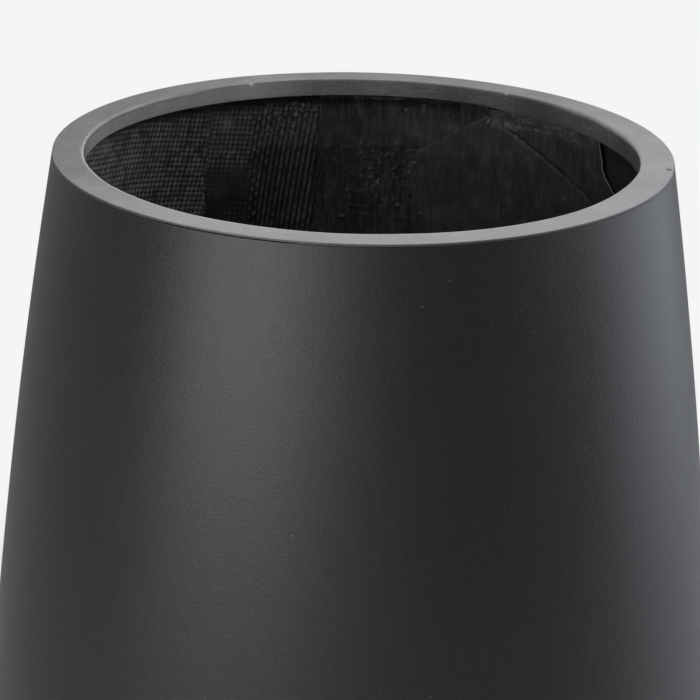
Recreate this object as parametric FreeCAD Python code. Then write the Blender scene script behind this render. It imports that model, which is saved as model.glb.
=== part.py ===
"""Tall round planter of glass-fibre laminate, narrow at the mouth and full at the belly.

It is built up as such a planter is laid up by hand. A smooth face coat is the outside. Behind it
lies the glass laminate, and inside that are strips and patches of woven cloth, lapped one over the
next. A moulded ring closes the wall at the mouth, a foot ring stands on rubber pads, and a rubber
plug closes the drain hole in the floor.

All sizes are in millimetres. The origin is on the ground under the middle of the planter, +Z is up
and -Y is the front. Bearings are in degrees, counted from the back (+Y) towards the right (+X).
"""
import FreeCAD, Part
import math
import os

# Overall form
HEIGHT = 900.0
MOUTH_RADIUS = 200.0          # outside of the rim
RIM_FLARE = 0.163             # how far the wall spreads per unit of depth, at the rim
UPPER_ARC_RADIUS = 4600.0     # the long curve from the rim to below half height
LOWER_ARC_RADIUS = 1300.0     # the tighter curve round the belly to the foot
ARC_JOINT_Z = HEIGHT / 2

# Thickness of the layers of the wall, from the outside in
SKIN = 2.0
LAMINATE = 3.0
CLOTH = 1.0
WALL = SKIN + LAMINATE

# Rim: a moulded ring with a flat top and a lip that turns down inside the mouth
LIP_WIDTH = 20.0
LIP_DEPTH = 12.0
LIP_THICKNESS = 4.5
RING_THICKNESS = 4.0
RING_EDGE = 1.6               # height of the ring's edge where it laps over the face coat
RING_OVERLAP = 2.4            # how far that edge reaches out over the face coat
RIM_JOINT_GAP = 0.4           # the fine dark line under the edge of the ring
RIM_OUTER_ROUND = 1.2
RIM_INNER_ROUND = 0.8
PUTTY_SET_BACK = 1.0          # how far above the lip's lower edge the putty behind it begins
PUTTY_DROP = 5.0              # how much lower that putty is at the wall

# Foot and floor
PAD_HEIGHT = 3.0
PAD_RADIUS = 11.0
PAD_COUNT = 4
FIRST_PAD_BEARING = 45.0
FOOT_ROUND = 14.0             # where the wall turns under
FOOT_INNER_RADIUS = 150.0
FOOT_INNER_ROUND = 6.0
FLOOR_RISE = 15.0             # the floor's underside above the foot
FLOOR_LAMINATE = 4.0
COVE_RADIUS = 15.0            # resin fillet in the corner of wall and floor
TAB_REACH_WALL = 20.0         # the bonding strip over that fillet reaches this far up the wall
TAB_REACH_FLOOR = 45.0

# Drain hole and its plug
DRAIN_RADIUS = 13.0
PLUG_CLEARANCE = 0.3
PLUG_TAPER = 1.2
PLUG_STEM = 14.0
PLUG_FLANGE_RADIUS = 19.0
PLUG_FLANGE = 3.0
PLUG_FLANGE_SLOPE = 1.0       # the flange's top is smaller than its foot by this much
PLUG_GRIP_RADIUS = 7.5
PLUG_GRIP_WAIST = 5.5
PLUG_GRIP_HEIGHT = 11.0

# Cloth: the visible right-hand edge of each full-height strip, as a bearing. The edge of a strip
# laps over the start of the next one, save where a patch covers a butt joint.
STRIP_EDGES = {
    "cloth_strip_left": -33.0,
    "cloth_strip_back_left": -9.3,
    "cloth_strip_back": 20.0,
    "cloth_strip_back_right": 55.7,
    "cloth_strip_right": 98.0,
    "cloth_strip_front_right": 143.0,
    "cloth_strip_front": 187.0,
    "cloth_strip_front_left": 230.0,
    "cloth_strip_far_left": 271.0,
}
BUTT_JOINTED = "cloth_strip_back"
LAP = 4.0                     # degrees of overlap between strips
JOG = 1.0                     # degrees in which a strip climbs on to the next

# The pointed patch over the butt joint, and the short band beside it under the rim
PATCH_POINT = (25.9, 877.4)   # bearing and height of its highest corner
PATCH_LEFT = (9.8, 841.9)
PATCH_RIGHT = (50.3, 832.0)
PATCH_BOTTOM_Z = 610.0
BAND_BOTTOM_Z = 844.0
BAND_GAP = 0.2                # degrees left free beside the neighbouring cloth

# Heights that follow from the sizes above
RING_UNDERSIDE_Z = HEIGHT - RING_THICKNESS
RING_EDGE_Z = HEIGHT - RING_EDGE
SKIN_TOP_Z = RING_EDGE_Z - RIM_JOINT_GAP
LIP_BOTTOM_Z = HEIGHT - LIP_DEPTH
PUTTY_BOTTOM_Z = LIP_BOTTOM_Z + PUTTY_SET_BACK
CLOTH_TOP_Z = PUTTY_BOTTOM_Z - PUTTY_DROP
FLOOR_UNDERSIDE_Z = PAD_HEIGHT + FLOOR_RISE
FLOOR_SKIN_TOP_Z = FLOOR_UNDERSIDE_Z + SKIN
FLOOR_TOP_Z = FLOOR_SKIN_TOP_Z + FLOOR_LAMINATE
FLOOR_CLOTH_TOP_Z = FLOOR_TOP_Z + CLOTH

# Centres of the two arcs of the wall, in radius and height, with the arcs tangent where they meet
RIM_ANGLE = math.atan(RIM_FLARE)
UPPER_CENTRE = (
    MOUTH_RADIUS - UPPER_ARC_RADIUS * math.cos(RIM_ANGLE),
    HEIGHT - UPPER_ARC_RADIUS * math.sin(RIM_ANGLE),
)
JOINT_ANGLE = math.asin((ARC_JOINT_Z - UPPER_CENTRE[1]) / UPPER_ARC_RADIUS)
LOWER_CENTRE = (
    UPPER_CENTRE[0] + (UPPER_ARC_RADIUS - LOWER_ARC_RADIUS) * math.cos(JOINT_ANGLE),
    UPPER_CENTRE[1] + (UPPER_ARC_RADIUS - LOWER_ARC_RADIUS) * math.sin(JOINT_ANGLE),
)

ORIGIN = FreeCAD.Vector(0, 0, 0)
UP = FreeCAD.Vector(0, 0, 1)


def point(radius, z):
    """A point of a section, which is drawn in the XZ plane."""
    return FreeCAD.Vector(radius, 0, z)


def wall_radius(z, inset=0.0):
    """Radius of the wall at height z, on the surface that lies inset inside the outer one."""
    joint_z = ARC_JOINT_Z - inset * math.sin(JOINT_ANGLE)
    upper = z >= joint_z
    centre = UPPER_CENTRE if upper else LOWER_CENTRE
    arc_radius = (UPPER_ARC_RADIUS if upper else LOWER_ARC_RADIUS) - inset
    return centre[0] + math.sqrt(arc_radius ** 2 - (z - centre[1]) ** 2)


def wall_curve(z_start, z_end, inset=0.0):
    """The wall's curve from one height to another, as one or two tangent arcs."""
    joint_z = ARC_JOINT_Z - inset * math.sin(JOINT_ANGLE)
    stops = [z_start, z_end]
    if min(stops) < joint_z < max(stops):
        stops.insert(1, joint_z)
    edges = []
    for a, b in zip(stops, stops[1:]):
        middle = (a + b) / 2
        through = [point(wall_radius(z, inset), z) for z in (a, middle, b)]
        edges.append(Part.Arc(*through).toShape())
    return edges


def lines(*points):
    """Straight edges through points given as radius and height."""
    vectors = [point(*p) for p in points]
    return [Part.LineSegment(a, b).toShape() for a, b in zip(vectors, vectors[1:])]


def corner(centre, radius, start, end):
    """An arc about centre, from one angle to another in degrees above the outward direction."""
    angles = [math.radians(a) for a in (start, (start + end) / 2, end)]
    through = [
        point(centre[0] + radius * math.cos(a), centre[1] + radius * math.sin(a))
        for a in angles
    ]
    return [Part.Arc(*through).toShape()]


def turned(edges, start=None, end=None):
    """The section revolved about the planter's axis: a full turn, or from one bearing to another."""
    face = Part.Face(Part.Wire(Part.sortEdges(edges)[0]))
    if start is None:
        return face.revolve(ORIGIN, UP, 360)
    face.rotate(ORIGIN, UP, 90 - end)
    return face.revolve(ORIGIN, UP, end - start)


def foot_corner(inset):
    """Centre of the round where the wall turns under, and the angle at which it leaves the wall."""
    centre_z = PAD_HEIGHT + FOOT_ROUND
    reach = LOWER_ARC_RADIUS - FOOT_ROUND
    centre_r = LOWER_CENTRE[0] + math.sqrt(reach ** 2 - (centre_z - LOWER_CENTRE[1]) ** 2)
    angle = math.asin((centre_z - LOWER_CENTRE[1]) / reach)
    wall_z = LOWER_CENTRE[1] + (LOWER_ARC_RADIUS - inset) * math.sin(angle)
    return (centre_r, centre_z), math.degrees(angle), wall_z


def skin_outline(inset, top_z):
    """The face coat's surface from the rim, round the foot and under the floor to the drain hole."""
    centre, leave_angle, wall_z = foot_corner(inset)
    foot_z = PAD_HEIGHT + inset
    inner_r = FOOT_INNER_RADIUS + inset
    outer_corner = (FOOT_INNER_RADIUS + FOOT_INNER_ROUND, PAD_HEIGHT + FOOT_INNER_ROUND)
    upper_corner = (
        FOOT_INNER_RADIUS - FOOT_INNER_ROUND,
        FLOOR_UNDERSIDE_Z - FOOT_INNER_ROUND,
    )
    return (
        wall_curve(top_z, wall_z, inset)
        + corner(centre, FOOT_ROUND - inset, leave_angle, -90)
        + lines((centre[0], foot_z), (outer_corner[0], foot_z))
        + corner(outer_corner, FOOT_INNER_ROUND - inset, -90, -180)
        + lines((inner_r, outer_corner[1]), (inner_r, upper_corner[1]))
        + corner(upper_corner, FOOT_INNER_ROUND + inset, 0, 90)
        + lines(
            (upper_corner[0], FLOOR_UNDERSIDE_Z + inset),
            (DRAIN_RADIUS, FLOOR_UNDERSIDE_Z + inset),
        )
    )


def outer_skin():
    """The smooth face coat, in one piece from the rim to the drain hole."""
    edges = skin_outline(0, SKIN_TOP_Z) + skin_outline(SKIN, SKIN_TOP_Z)
    edges += lines(
        (wall_radius(SKIN_TOP_Z), SKIN_TOP_Z), (wall_radius(SKIN_TOP_Z, SKIN), SKIN_TOP_Z)
    )
    edges += lines((DRAIN_RADIUS, FLOOR_UNDERSIDE_Z), (DRAIN_RADIUS, FLOOR_SKIN_TOP_Z))
    return turned(edges)


def wall_layer(top_z, bottom_z, outer_inset, inner_inset, start=None, end=None):
    """A layer that follows the wall between two heights and two insets."""
    edges = wall_curve(top_z, bottom_z, outer_inset)
    edges += lines(
        (wall_radius(bottom_z, outer_inset), bottom_z),
        (wall_radius(bottom_z, inner_inset), bottom_z),
    )
    edges += wall_curve(bottom_z, top_z, inner_inset)
    edges += lines(
        (wall_radius(top_z, inner_inset), top_z), (wall_radius(top_z, outer_inset), top_z)
    )
    return turned(edges, start, end)


def rim_ring():
    """The moulded ring: a flat top, a thin edge over the face coat, and the lip turned down."""
    inner_r = MOUTH_RADIUS - LIP_WIDTH
    lip_outer_r = inner_r + LIP_THICKNESS
    shoulder_z = HEIGHT - RIM_OUTER_ROUND
    edge_r = wall_radius(shoulder_z)
    rabbet_r = wall_radius(RING_EDGE_Z) - RING_OVERLAP
    outer_centre = (edge_r - RIM_OUTER_ROUND, shoulder_z)
    upper_centre = (inner_r + RIM_INNER_ROUND, HEIGHT - RIM_INNER_ROUND)
    lower_centre = (inner_r + RIM_INNER_ROUND, LIP_BOTTOM_Z + RIM_INNER_ROUND)
    outline = (
        corner(outer_centre, RIM_OUTER_ROUND, 0, 90)
        + lines((outer_centre[0], HEIGHT), (upper_centre[0], HEIGHT))
        + corner(upper_centre, RIM_INNER_ROUND, 90, 180)
        + lines((inner_r, upper_centre[1]), (inner_r, lower_centre[1]))
        + corner(lower_centre, RIM_INNER_ROUND, 180, 270)
        + lines(
            (lower_centre[0], LIP_BOTTOM_Z),
            (lip_outer_r, LIP_BOTTOM_Z),
            (lip_outer_r, RING_UNDERSIDE_Z),
            (rabbet_r, RING_UNDERSIDE_Z),
            (rabbet_r, RING_EDGE_Z),
            (wall_radius(RING_EDGE_Z), RING_EDGE_Z),
            (edge_r, shoulder_z),
        )
    )
    return turned(outline)


def rim_putty():
    """Filler that beds the ring on the wall, behind the lip."""
    inner_r = MOUTH_RADIUS - LIP_WIDTH + LIP_THICKNESS
    top = (wall_radius(RING_UNDERSIDE_Z, WALL), RING_UNDERSIDE_Z)
    low = (wall_radius(CLOTH_TOP_Z, WALL), CLOTH_TOP_Z)
    edges = lines(low, (inner_r, PUTTY_BOTTOM_Z), (inner_r, RING_UNDERSIDE_Z), top)
    return turned(edges + wall_curve(RING_UNDERSIDE_Z, CLOTH_TOP_Z, WALL))


def tab_top_z():
    """Height where the floor's bonding strip ends and the wall cloth begins."""
    return FLOOR_TOP_Z + COVE_RADIUS + TAB_REACH_WALL


def cloth_strip(start, end, lapped):
    """One full-height strip. Its right edge climbs over the start of the next strip."""
    top_z, bottom_z = CLOTH_TOP_Z, tab_top_z()
    body_end = end - LAP if lapped else end
    body = wall_layer(top_z, bottom_z, WALL, WALL + CLOTH, start, body_end)
    if not lapped:
        return body
    tongue = wall_layer(top_z, bottom_z, WALL + CLOTH, WALL + 2 * CLOTH, body_end - JOG, end)
    return body.fuse(tongue).removeSplitter()


def cloth_strips():
    """All full-height strips, by name."""
    strips = {}
    names = list(STRIP_EDGES)
    for name, before in zip(names, [names[-1]] + names):
        turn = 360 if name == names[0] else 0
        start = STRIP_EDGES[before] - turn
        if before != BUTT_JOINTED:
            start -= LAP
        strips[name] = cloth_strip(start, STRIP_EDGES[name], name != BUTT_JOINTED)
    return strips


def pointed_patch():
    """The patch with two slanting upper edges, on top of the strips. A block with those edges,
    wider and longer than the patch everywhere else, cuts it out of a layer of the wall."""
    left, right = PATCH_LEFT[0], PATCH_RIGHT[0]
    middle = (left + right) / 2
    layer = wall_layer(
        PATCH_POINT[1], PATCH_BOTTOM_Z, WALL + CLOTH, WALL + 2 * CLOTH, left, right
    )
    slants = []
    for bearing, z in (PATCH_LEFT, PATCH_POINT, PATCH_RIGHT):
        swing = math.radians(bearing - middle)
        slants.append(FreeCAD.Vector(wall_radius(z, WALL + CLOTH) * math.sin(swing), 0, z))
    surround = [
        FreeCAD.Vector(x, 0, z)
        for x, z in (
            (MOUTH_RADIUS, PATCH_RIGHT[1]),
            (MOUTH_RADIUS, 0),
            (-MOUTH_RADIUS, 0),
            (-MOUTH_RADIUS, PATCH_LEFT[1]),
        )
    ]
    outline = Part.Face(Part.makePolygon(slants + surround + slants[:1]))
    block = outline.extrude(FreeCAD.Vector(0, 2 * MOUTH_RADIUS, 0))
    block.rotate(ORIGIN, UP, -middle)
    return layer.common(block)


def rim_band():
    """The short band of cloth under the rim, between the back left strip and the patch."""
    start = STRIP_EDGES["cloth_strip_back_left"] + BAND_GAP
    end = PATCH_LEFT[0] - BAND_GAP
    return wall_layer(
        CLOTH_TOP_Z, BAND_BOTTOM_Z, WALL + CLOTH, WALL + 2 * CLOTH, start, end
    )


def foot_putty():
    """Filler in the channel of the foot ring."""
    centre, leave_angle, wall_z = foot_corner(SKIN)
    outer_corner = (FOOT_INNER_RADIUS + FOOT_INNER_ROUND, PAD_HEIGHT + FOOT_INNER_ROUND)
    upper_corner = (
        FOOT_INNER_RADIUS - FOOT_INNER_ROUND,
        FLOOR_UNDERSIDE_Z - FOOT_INNER_ROUND,
    )
    inner_r = FOOT_INNER_RADIUS + SKIN
    edges = wall_curve(FLOOR_SKIN_TOP_Z, wall_z, SKIN)
    edges += corner(centre, FOOT_ROUND - SKIN, leave_angle, -90)
    edges += lines(
        (centre[0], PAD_HEIGHT + SKIN), (outer_corner[0], PAD_HEIGHT + SKIN)
    )
    edges += corner(outer_corner, FOOT_INNER_ROUND - SKIN, -90, -180)
    edges += lines((inner_r, outer_corner[1]), (inner_r, upper_corner[1]))
    edges += corner(upper_corner, FOOT_INNER_ROUND + SKIN, 0, 90)
    edges += lines(
        (upper_corner[0], FLOOR_SKIN_TOP_Z),
        (wall_radius(FLOOR_SKIN_TOP_Z, SKIN), FLOOR_SKIN_TOP_Z),
    )
    return turned(edges)


def floor_laminate():
    """The stiff disc of the floor, with the drain hole."""
    edges = lines(
        (wall_radius(FLOOR_TOP_Z, WALL), FLOOR_TOP_Z),
        (DRAIN_RADIUS, FLOOR_TOP_Z),
        (DRAIN_RADIUS, FLOOR_SKIN_TOP_Z),
        (wall_radius(FLOOR_SKIN_TOP_Z, WALL), FLOOR_SKIN_TOP_Z),
    )
    return turned(edges + wall_curve(FLOOR_SKIN_TOP_Z, FLOOR_TOP_Z, WALL))


def cove_corner():
    """Centre of the fillet between floor and wall, and the angle and height where it meets the wall."""
    centre_z = FLOOR_TOP_Z + COVE_RADIUS
    reach = LOWER_ARC_RADIUS - WALL - COVE_RADIUS
    centre_r = LOWER_CENTRE[0] + math.sqrt(reach ** 2 - (centre_z - LOWER_CENTRE[1]) ** 2)
    angle = math.asin((centre_z - LOWER_CENTRE[1]) / reach)
    meet_z = LOWER_CENTRE[1] + (LOWER_ARC_RADIUS - WALL) * math.sin(angle)
    return (centre_r, centre_z), math.degrees(angle), meet_z


def corner_cove():
    """Resin fillet in the corner of the floor and the wall."""
    centre, angle, meet_z = cove_corner()
    edges = corner(centre, COVE_RADIUS, angle, -90)
    edges += lines((centre[0], FLOOR_TOP_Z), (wall_radius(FLOOR_TOP_Z, WALL), FLOOR_TOP_Z))
    return turned(edges + wall_curve(FLOOR_TOP_Z, meet_z, WALL))


def floor_tab():
    """The strip of cloth that bonds the floor to the wall, over the fillet."""
    centre, angle, meet_z = cove_corner()
    inner_meet_z = meet_z - CLOTH * math.sin(math.radians(angle))
    floor_end = centre[0] - TAB_REACH_FLOOR
    top_z = tab_top_z()
    edges = wall_curve(top_z, meet_z, WALL)
    edges += corner(centre, COVE_RADIUS, angle, -90)
    edges += lines(
        (centre[0], FLOOR_TOP_Z),
        (floor_end, FLOOR_TOP_Z),
        (floor_end, FLOOR_CLOTH_TOP_Z),
        (centre[0], FLOOR_CLOTH_TOP_Z),
    )
    edges += corner(centre, COVE_RADIUS - CLOTH, -90, angle)
    edges += wall_curve(inner_meet_z, top_z, WALL + CLOTH)
    edges += lines(
        (wall_radius(top_z, WALL + CLOTH), top_z), (wall_radius(top_z, WALL), top_z)
    )
    return turned(edges)


def floor_cloth():
    """A disc of woven cloth on the floor, inside the bonding strip."""
    outer_r = cove_corner()[0][0] - TAB_REACH_FLOOR
    return turned(
        lines(
            (DRAIN_RADIUS, FLOOR_TOP_Z),
            (outer_r, FLOOR_TOP_Z),
            (outer_r, FLOOR_CLOTH_TOP_Z),
            (DRAIN_RADIUS, FLOOR_CLOTH_TOP_Z),
            (DRAIN_RADIUS, FLOOR_TOP_Z),
        )
    )


def drain_plug():
    """Rubber stopper: a tapered stem in the hole, a flange on the floor and a waisted grip."""
    stem_r = DRAIN_RADIUS - PLUG_CLEARANCE
    tip_z = FLOOR_CLOTH_TOP_Z - PLUG_STEM
    flange_z = FLOOR_CLOTH_TOP_Z + PLUG_FLANGE
    top_z = flange_z + PLUG_GRIP_HEIGHT
    waist_z = flange_z + PLUG_GRIP_HEIGHT / 2
    grip = [
        point(PLUG_GRIP_RADIUS, flange_z),
        point(PLUG_GRIP_WAIST, waist_z),
        point(PLUG_GRIP_RADIUS, top_z),
    ]
    edges = lines(
        (PLUG_GRIP_RADIUS, top_z),
        (0, top_z),
        (0, tip_z),
        (stem_r - PLUG_TAPER, tip_z),
        (stem_r, FLOOR_CLOTH_TOP_Z),
        (PLUG_FLANGE_RADIUS, FLOOR_CLOTH_TOP_Z),
        (PLUG_FLANGE_RADIUS - PLUG_FLANGE_SLOPE, flange_z),
        (PLUG_GRIP_RADIUS, flange_z),
    )
    return turned(edges + [Part.Arc(*grip).toShape()])


def foot_pads():
    """Round rubber pads under the middle of the foot ring, by name."""
    foot_outer_r = foot_corner(0)[0][0]
    foot_inner_r = FOOT_INNER_RADIUS + FOOT_INNER_ROUND
    ring_r = (foot_outer_r + foot_inner_r) / 2
    pads = {}
    for number in range(PAD_COUNT):
        bearing = math.radians(FIRST_PAD_BEARING + number * 360 / PAD_COUNT)
        place = FreeCAD.Vector(ring_r * math.sin(bearing), ring_r * math.cos(bearing), 0)
        pads[f"foot_pad_{number + 1}"] = Part.makeCylinder(PAD_RADIUS, PAD_HEIGHT, place)
    return pads


def all_pieces():
    """Every piece of the planter, by name."""
    pieces = {
        "outer_skin": outer_skin(),
        "wall_laminate": wall_layer(RING_UNDERSIDE_Z, FLOOR_SKIN_TOP_Z, SKIN, WALL),
        "rim_ring": rim_ring(),
        "rim_putty": rim_putty(),
        "pointed_patch": pointed_patch(),
        "rim_band": rim_band(),
        "foot_putty": foot_putty(),
        "floor_laminate": floor_laminate(),
        "corner_cove": corner_cove(),
        "floor_tab": floor_tab(),
        "floor_cloth": floor_cloth(),
        "drain_plug": drain_plug(),
    }
    pieces.update(cloth_strips())
    pieces.update(foot_pads())
    return pieces


def main():
    """Makes every piece and writes one STEP file for each."""
    os.makedirs("parts", exist_ok=True)
    for name, shape in all_pieces().items():
        print(
            f"{name}: solids {len(shape.Solids)}, volume {shape.Volume / 1000:.1f} cm3,"
            f" valid {shape.isValid()}"
        )
        shape.exportStep(f"parts/{name}.step")


main()
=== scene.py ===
# %% Load the frame
import math

import bpy
import numpy as np
from mathutils import Matrix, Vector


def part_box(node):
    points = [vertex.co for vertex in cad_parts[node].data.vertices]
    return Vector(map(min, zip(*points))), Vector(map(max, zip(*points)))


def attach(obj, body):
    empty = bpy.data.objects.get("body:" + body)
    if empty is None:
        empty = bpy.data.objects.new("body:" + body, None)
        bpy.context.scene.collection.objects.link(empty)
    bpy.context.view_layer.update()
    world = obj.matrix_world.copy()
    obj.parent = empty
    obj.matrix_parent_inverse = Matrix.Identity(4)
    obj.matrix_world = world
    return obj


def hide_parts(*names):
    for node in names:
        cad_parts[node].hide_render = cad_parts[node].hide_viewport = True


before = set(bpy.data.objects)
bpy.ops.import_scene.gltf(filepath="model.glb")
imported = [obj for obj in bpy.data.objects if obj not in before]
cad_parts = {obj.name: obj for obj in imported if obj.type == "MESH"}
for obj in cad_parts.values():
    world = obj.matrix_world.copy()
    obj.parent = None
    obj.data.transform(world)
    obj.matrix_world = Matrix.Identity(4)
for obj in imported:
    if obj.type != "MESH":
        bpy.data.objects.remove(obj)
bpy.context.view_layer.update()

# %% [markdown]
# # A tall planter laid up from glass cloth
# The object is a floor planter of glass-fibre laminate, 0.9 m tall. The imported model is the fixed
# frame: it says where every piece is, and this script makes each visible piece again with the
# surface that the real one has. Everything is in metres. The origin is on the ground under the
# planter's middle, +Z is up and the front is towards -Y. A bearing is an angle round the planter in
# degrees, from the back (+Y) towards the right (+X). A depth counts down from the top of the rim.
#
# ## The curve of the wall
# The wall leaves the rim at a slant, runs in one long curve to about half height and turns back in
# along a tighter one to the foot. Two arcs that share a tangent make such a curve with six numbers.
# Every layer of the wall follows it at its own distance inside the outer face, called its inset.

# %% The two arcs of the wall
MM = 0.001
RIM_LOW, RIM_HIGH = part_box("rim_ring")
HEIGHT = RIM_HIGH.z
MOUTH_RADIUS = 200 * MM
RIM_FLARE = 0.163
UPPER_ARC = 4600 * MM
LOWER_ARC = 1300 * MM
ARC_JOINT_Z = HEIGHT / 2
GIRTH = 2 * math.pi * MOUTH_RADIUS

RIM_ANGLE = math.atan(RIM_FLARE)
UPPER_CENTRE = (
    MOUTH_RADIUS - UPPER_ARC * math.cos(RIM_ANGLE),
    HEIGHT - UPPER_ARC * math.sin(RIM_ANGLE),
)
JOINT_ANGLE = math.asin((ARC_JOINT_Z - UPPER_CENTRE[1]) / UPPER_ARC)
LOWER_CENTRE = (
    UPPER_CENTRE[0] + (UPPER_ARC - LOWER_ARC) * math.cos(JOINT_ANGLE),
    UPPER_CENTRE[1] + (UPPER_ARC - LOWER_ARC) * math.sin(JOINT_ANGLE),
)
print(f"arcs meet at {ARC_JOINT_Z:.3f} m, leaning by {math.degrees(JOINT_ANGLE):.1f} degrees")

# %% Places on the wall


def wall_radius(z, inset=0.0):
    """Radius of the wall at height z: the centre of the arc that rules there, plus the root of
    (arc radius - inset) squared minus (z - centre) squared."""
    upper = z >= ARC_JOINT_Z - inset * math.sin(JOINT_ANGLE)
    centre_r = np.where(upper, UPPER_CENTRE[0], LOWER_CENTRE[0])
    centre_z = np.where(upper, UPPER_CENTRE[1], LOWER_CENTRE[1])
    arc_radius = np.where(upper, UPPER_ARC, LOWER_ARC) - inset
    return centre_r + np.sqrt(arc_radius ** 2 - (z - centre_z) ** 2)


def around(radius, bearing, z):
    """Points at a radius, a bearing in degrees and a height: (r sin b, r cos b, z)."""
    angle = np.radians(bearing)
    return np.stack(np.broadcast_arrays(radius * np.sin(angle), radius * np.cos(angle), z), -1)


def way_round(bearing):
    """Length of the way round the mouth to a bearing in degrees: the angle times the radius."""
    return np.radians(bearing) * MOUTH_RADIUS


RADII = [round(float(wall_radius(z)), 3) for z in (HEIGHT, ARC_JOINT_Z)]
print(f"wall: radius {RADII[0]} at the rim and {RADII[1]} half way down")

# %% [markdown]
# ## From arrays to meshes
# Every piece below is a grid of points worked out with numpy, and one function makes a mesh of its
# points and faces. Faces have to point outwards, so the volume that they enclose is worked out, and
# they are turned over when it comes out negative.

# %% Meshes from grids


def enclosed_volume(points, face_sets):
    """A sixth of the sum of a . (b x c) over the triangles that the faces fan into."""
    total = 0.0
    for faces in face_sets:
        for k in range(1, faces.shape[1] - 1):
            a, b, c = (points[faces[:, i]] for i in (0, k, k + 1))
            total += np.einsum("ij,ij->", a, np.cross(b, c)) / 6
    return total


def new_piece(name, points, *face_sets):
    """A smooth-shaded mesh object from points and arrays of faces, one array per corner count."""
    points = points.reshape(-1, 3)
    volume = enclosed_volume(points, face_sets)
    if volume < 0:
        face_sets = [faces[:, ::-1] for faces in face_sets]
    mesh = bpy.data.meshes.new(name)
    totals = np.concatenate([np.full(len(faces), faces.shape[1]) for faces in face_sets])
    corners = np.concatenate([faces.ravel() for faces in face_sets])
    mesh.vertices.add(len(points))
    mesh.vertices.foreach_set("co", points.ravel().astype(np.float32))
    mesh.loops.add(len(corners))
    mesh.loops.foreach_set("vertex_index", corners.astype(np.int32))
    mesh.polygons.add(len(totals))
    mesh.polygons.foreach_set("loop_start", (np.cumsum(totals) - totals).astype(np.int32))
    mesh.update(calc_edges=True)
    mesh.shade_smooth()
    piece = bpy.data.objects.new(name, mesh)
    bpy.context.scene.collection.objects.link(piece)
    triangles = int((totals - 2).sum())
    mended = mesh.validate()
    print(f"{name}: {triangles} triangles, {abs(volume) * 1e6:.1f} cm3, had faults: {mended}")
    return piece


# %% [markdown]
# ### Turned pieces and slabs
# A piece that is turned about the axis closes on itself both ways, like a tyre. A layer of cloth is
# a slab: a fine grid on the side that shows, a grid four times as coarse on its hidden back, and a
# thin edge all round. An attribute is a number at each point of a mesh, which its material can read.

# %% Turned pieces and attributes


def tyre_faces(rows, columns):
    """Quads of a grid whose last row meets its first and whose last column meets its first."""
    i, j = np.meshgrid(np.arange(rows), np.arange(columns), indexing="ij")
    down, right = (i + 1) % rows, (j + 1) % columns
    corners = (i * columns + j, i * columns + right, down * columns + right, down * columns + j)
    return np.stack(corners, -1).reshape(-1, 4)


def turned_piece(name, radius, height, bearings):
    """A closed section turned about the axis. radius and height hold one row for each point of the
    section and one column for each bearing."""
    radius, height = np.broadcast_arrays(radius, height)
    return new_piece(name, around(radius, bearings, height), tyre_faces(*radius.shape))


def set_attribute(piece, name, values):
    """Gives a piece's first points the values, in the order of their grid, and the others 0."""
    padded = np.zeros(len(piece.data.vertices), np.float32)
    padded[: values.size] = values.ravel()
    piece.data.attributes.new(name, "FLOAT", "POINT").data.foreach_set("value", padded)


# %% Slabs
STRIDE = 4  # the back has one point for so many of the front


def slab_piece(name, front, back):
    """A slab between a fine front grid and its back. Of the back only the border and every fourth
    point inside are used. Cells along its border are polygons that take in the border's points."""
    rows, columns = front.shape[:2]
    i, j = np.meshgrid(np.arange(rows), np.arange(columns), indexing="ij")
    border = (i == 0) | (j == 0) | (i == rows - 1) | (j == columns - 1)
    used = border | ((i % STRIDE == 0) & (j % STRIDE == 0))
    front_at = i * columns + j
    back_at = np.where(used, front_at.size + np.cumsum(used).reshape(used.shape) - 1, -1)

    cells = [front_at[:-1, :-1], front_at[:-1, 1:], front_at[1:, 1:], front_at[1:, :-1]]
    quads = [np.stack(cells, -1).reshape(-1, 4)]
    coarse = back_at[STRIDE:-STRIDE:STRIDE, STRIDE:-STRIDE:STRIDE]
    cells = [coarse[:-1, :-1], coarse[1:, :-1], coarse[1:, 1:], coarse[:-1, 1:]]
    quads.append(np.stack(cells, -1).reshape(-1, 4))
    edge_cells, corner_cells = [], []
    for turn in range(4):
        grid, face = np.rot90(back_at, turn), np.rot90(front_at, turn)
        starts = np.arange(STRIDE, grid.shape[1] - STRIDE - 1, STRIDE)
        steps = [grid[0, starts + k] for k in range(STRIDE + 1)]
        steps += [grid[STRIDE, starts + STRIDE], grid[STRIDE, starts]]
        edge_cells.append(np.stack(steps, -1)[:, ::-1])
        corner = [*grid[STRIDE:0:-1, 0], *grid[0, :STRIDE + 1], grid[STRIDE, STRIDE]]
        corner_cells.append(corner[::-1])
        quads.append(np.stack([face[0, 1:], face[0, :-1], grid[0, :-1], grid[0, 1:]], -1))
    points = np.concatenate([front.reshape(-1, 3), back[used]])
    return new_piece(
        name, points, np.concatenate(quads), np.concatenate(edge_cells), np.array(corner_cells)
    )


# %% [markdown]
# ## Hand work in numbers
# Nothing on a hand-laid planter is quite straight. Five small functions give that: a smooth step
# between two values, a soft window round a place, a dent, smooth random bumps, and round humps for
# drops. The bumps come from a lattice of random numbers with a fixed seed, so that each run gives
# the same planter.

# %% Steps, windows and dents


def smooth_step(value, low, high):
    """0 below low, 1 above high and 3t^2 - 2t^3 between, where t is the way from low to high."""
    t = np.clip((value - low) / (high - low), 0, 1)
    return t * t * (3 - 2 * t)


def window(value, low, high, blur):
    """1 between low and high, falling smoothly to 0 within blur outside them."""
    return smooth_step(value, low - blur, low) * (1 - smooth_step(value, high, high + blur))


def dent(distance, size):
    """exp(-(distance / size)^2)."""
    return np.exp(-((distance / size) ** 2))


print("step half way:", smooth_step(0.5, 0, 1), " dent one size away:", round(dent(1, 1), 3))

# %% Bumps and humps


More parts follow.
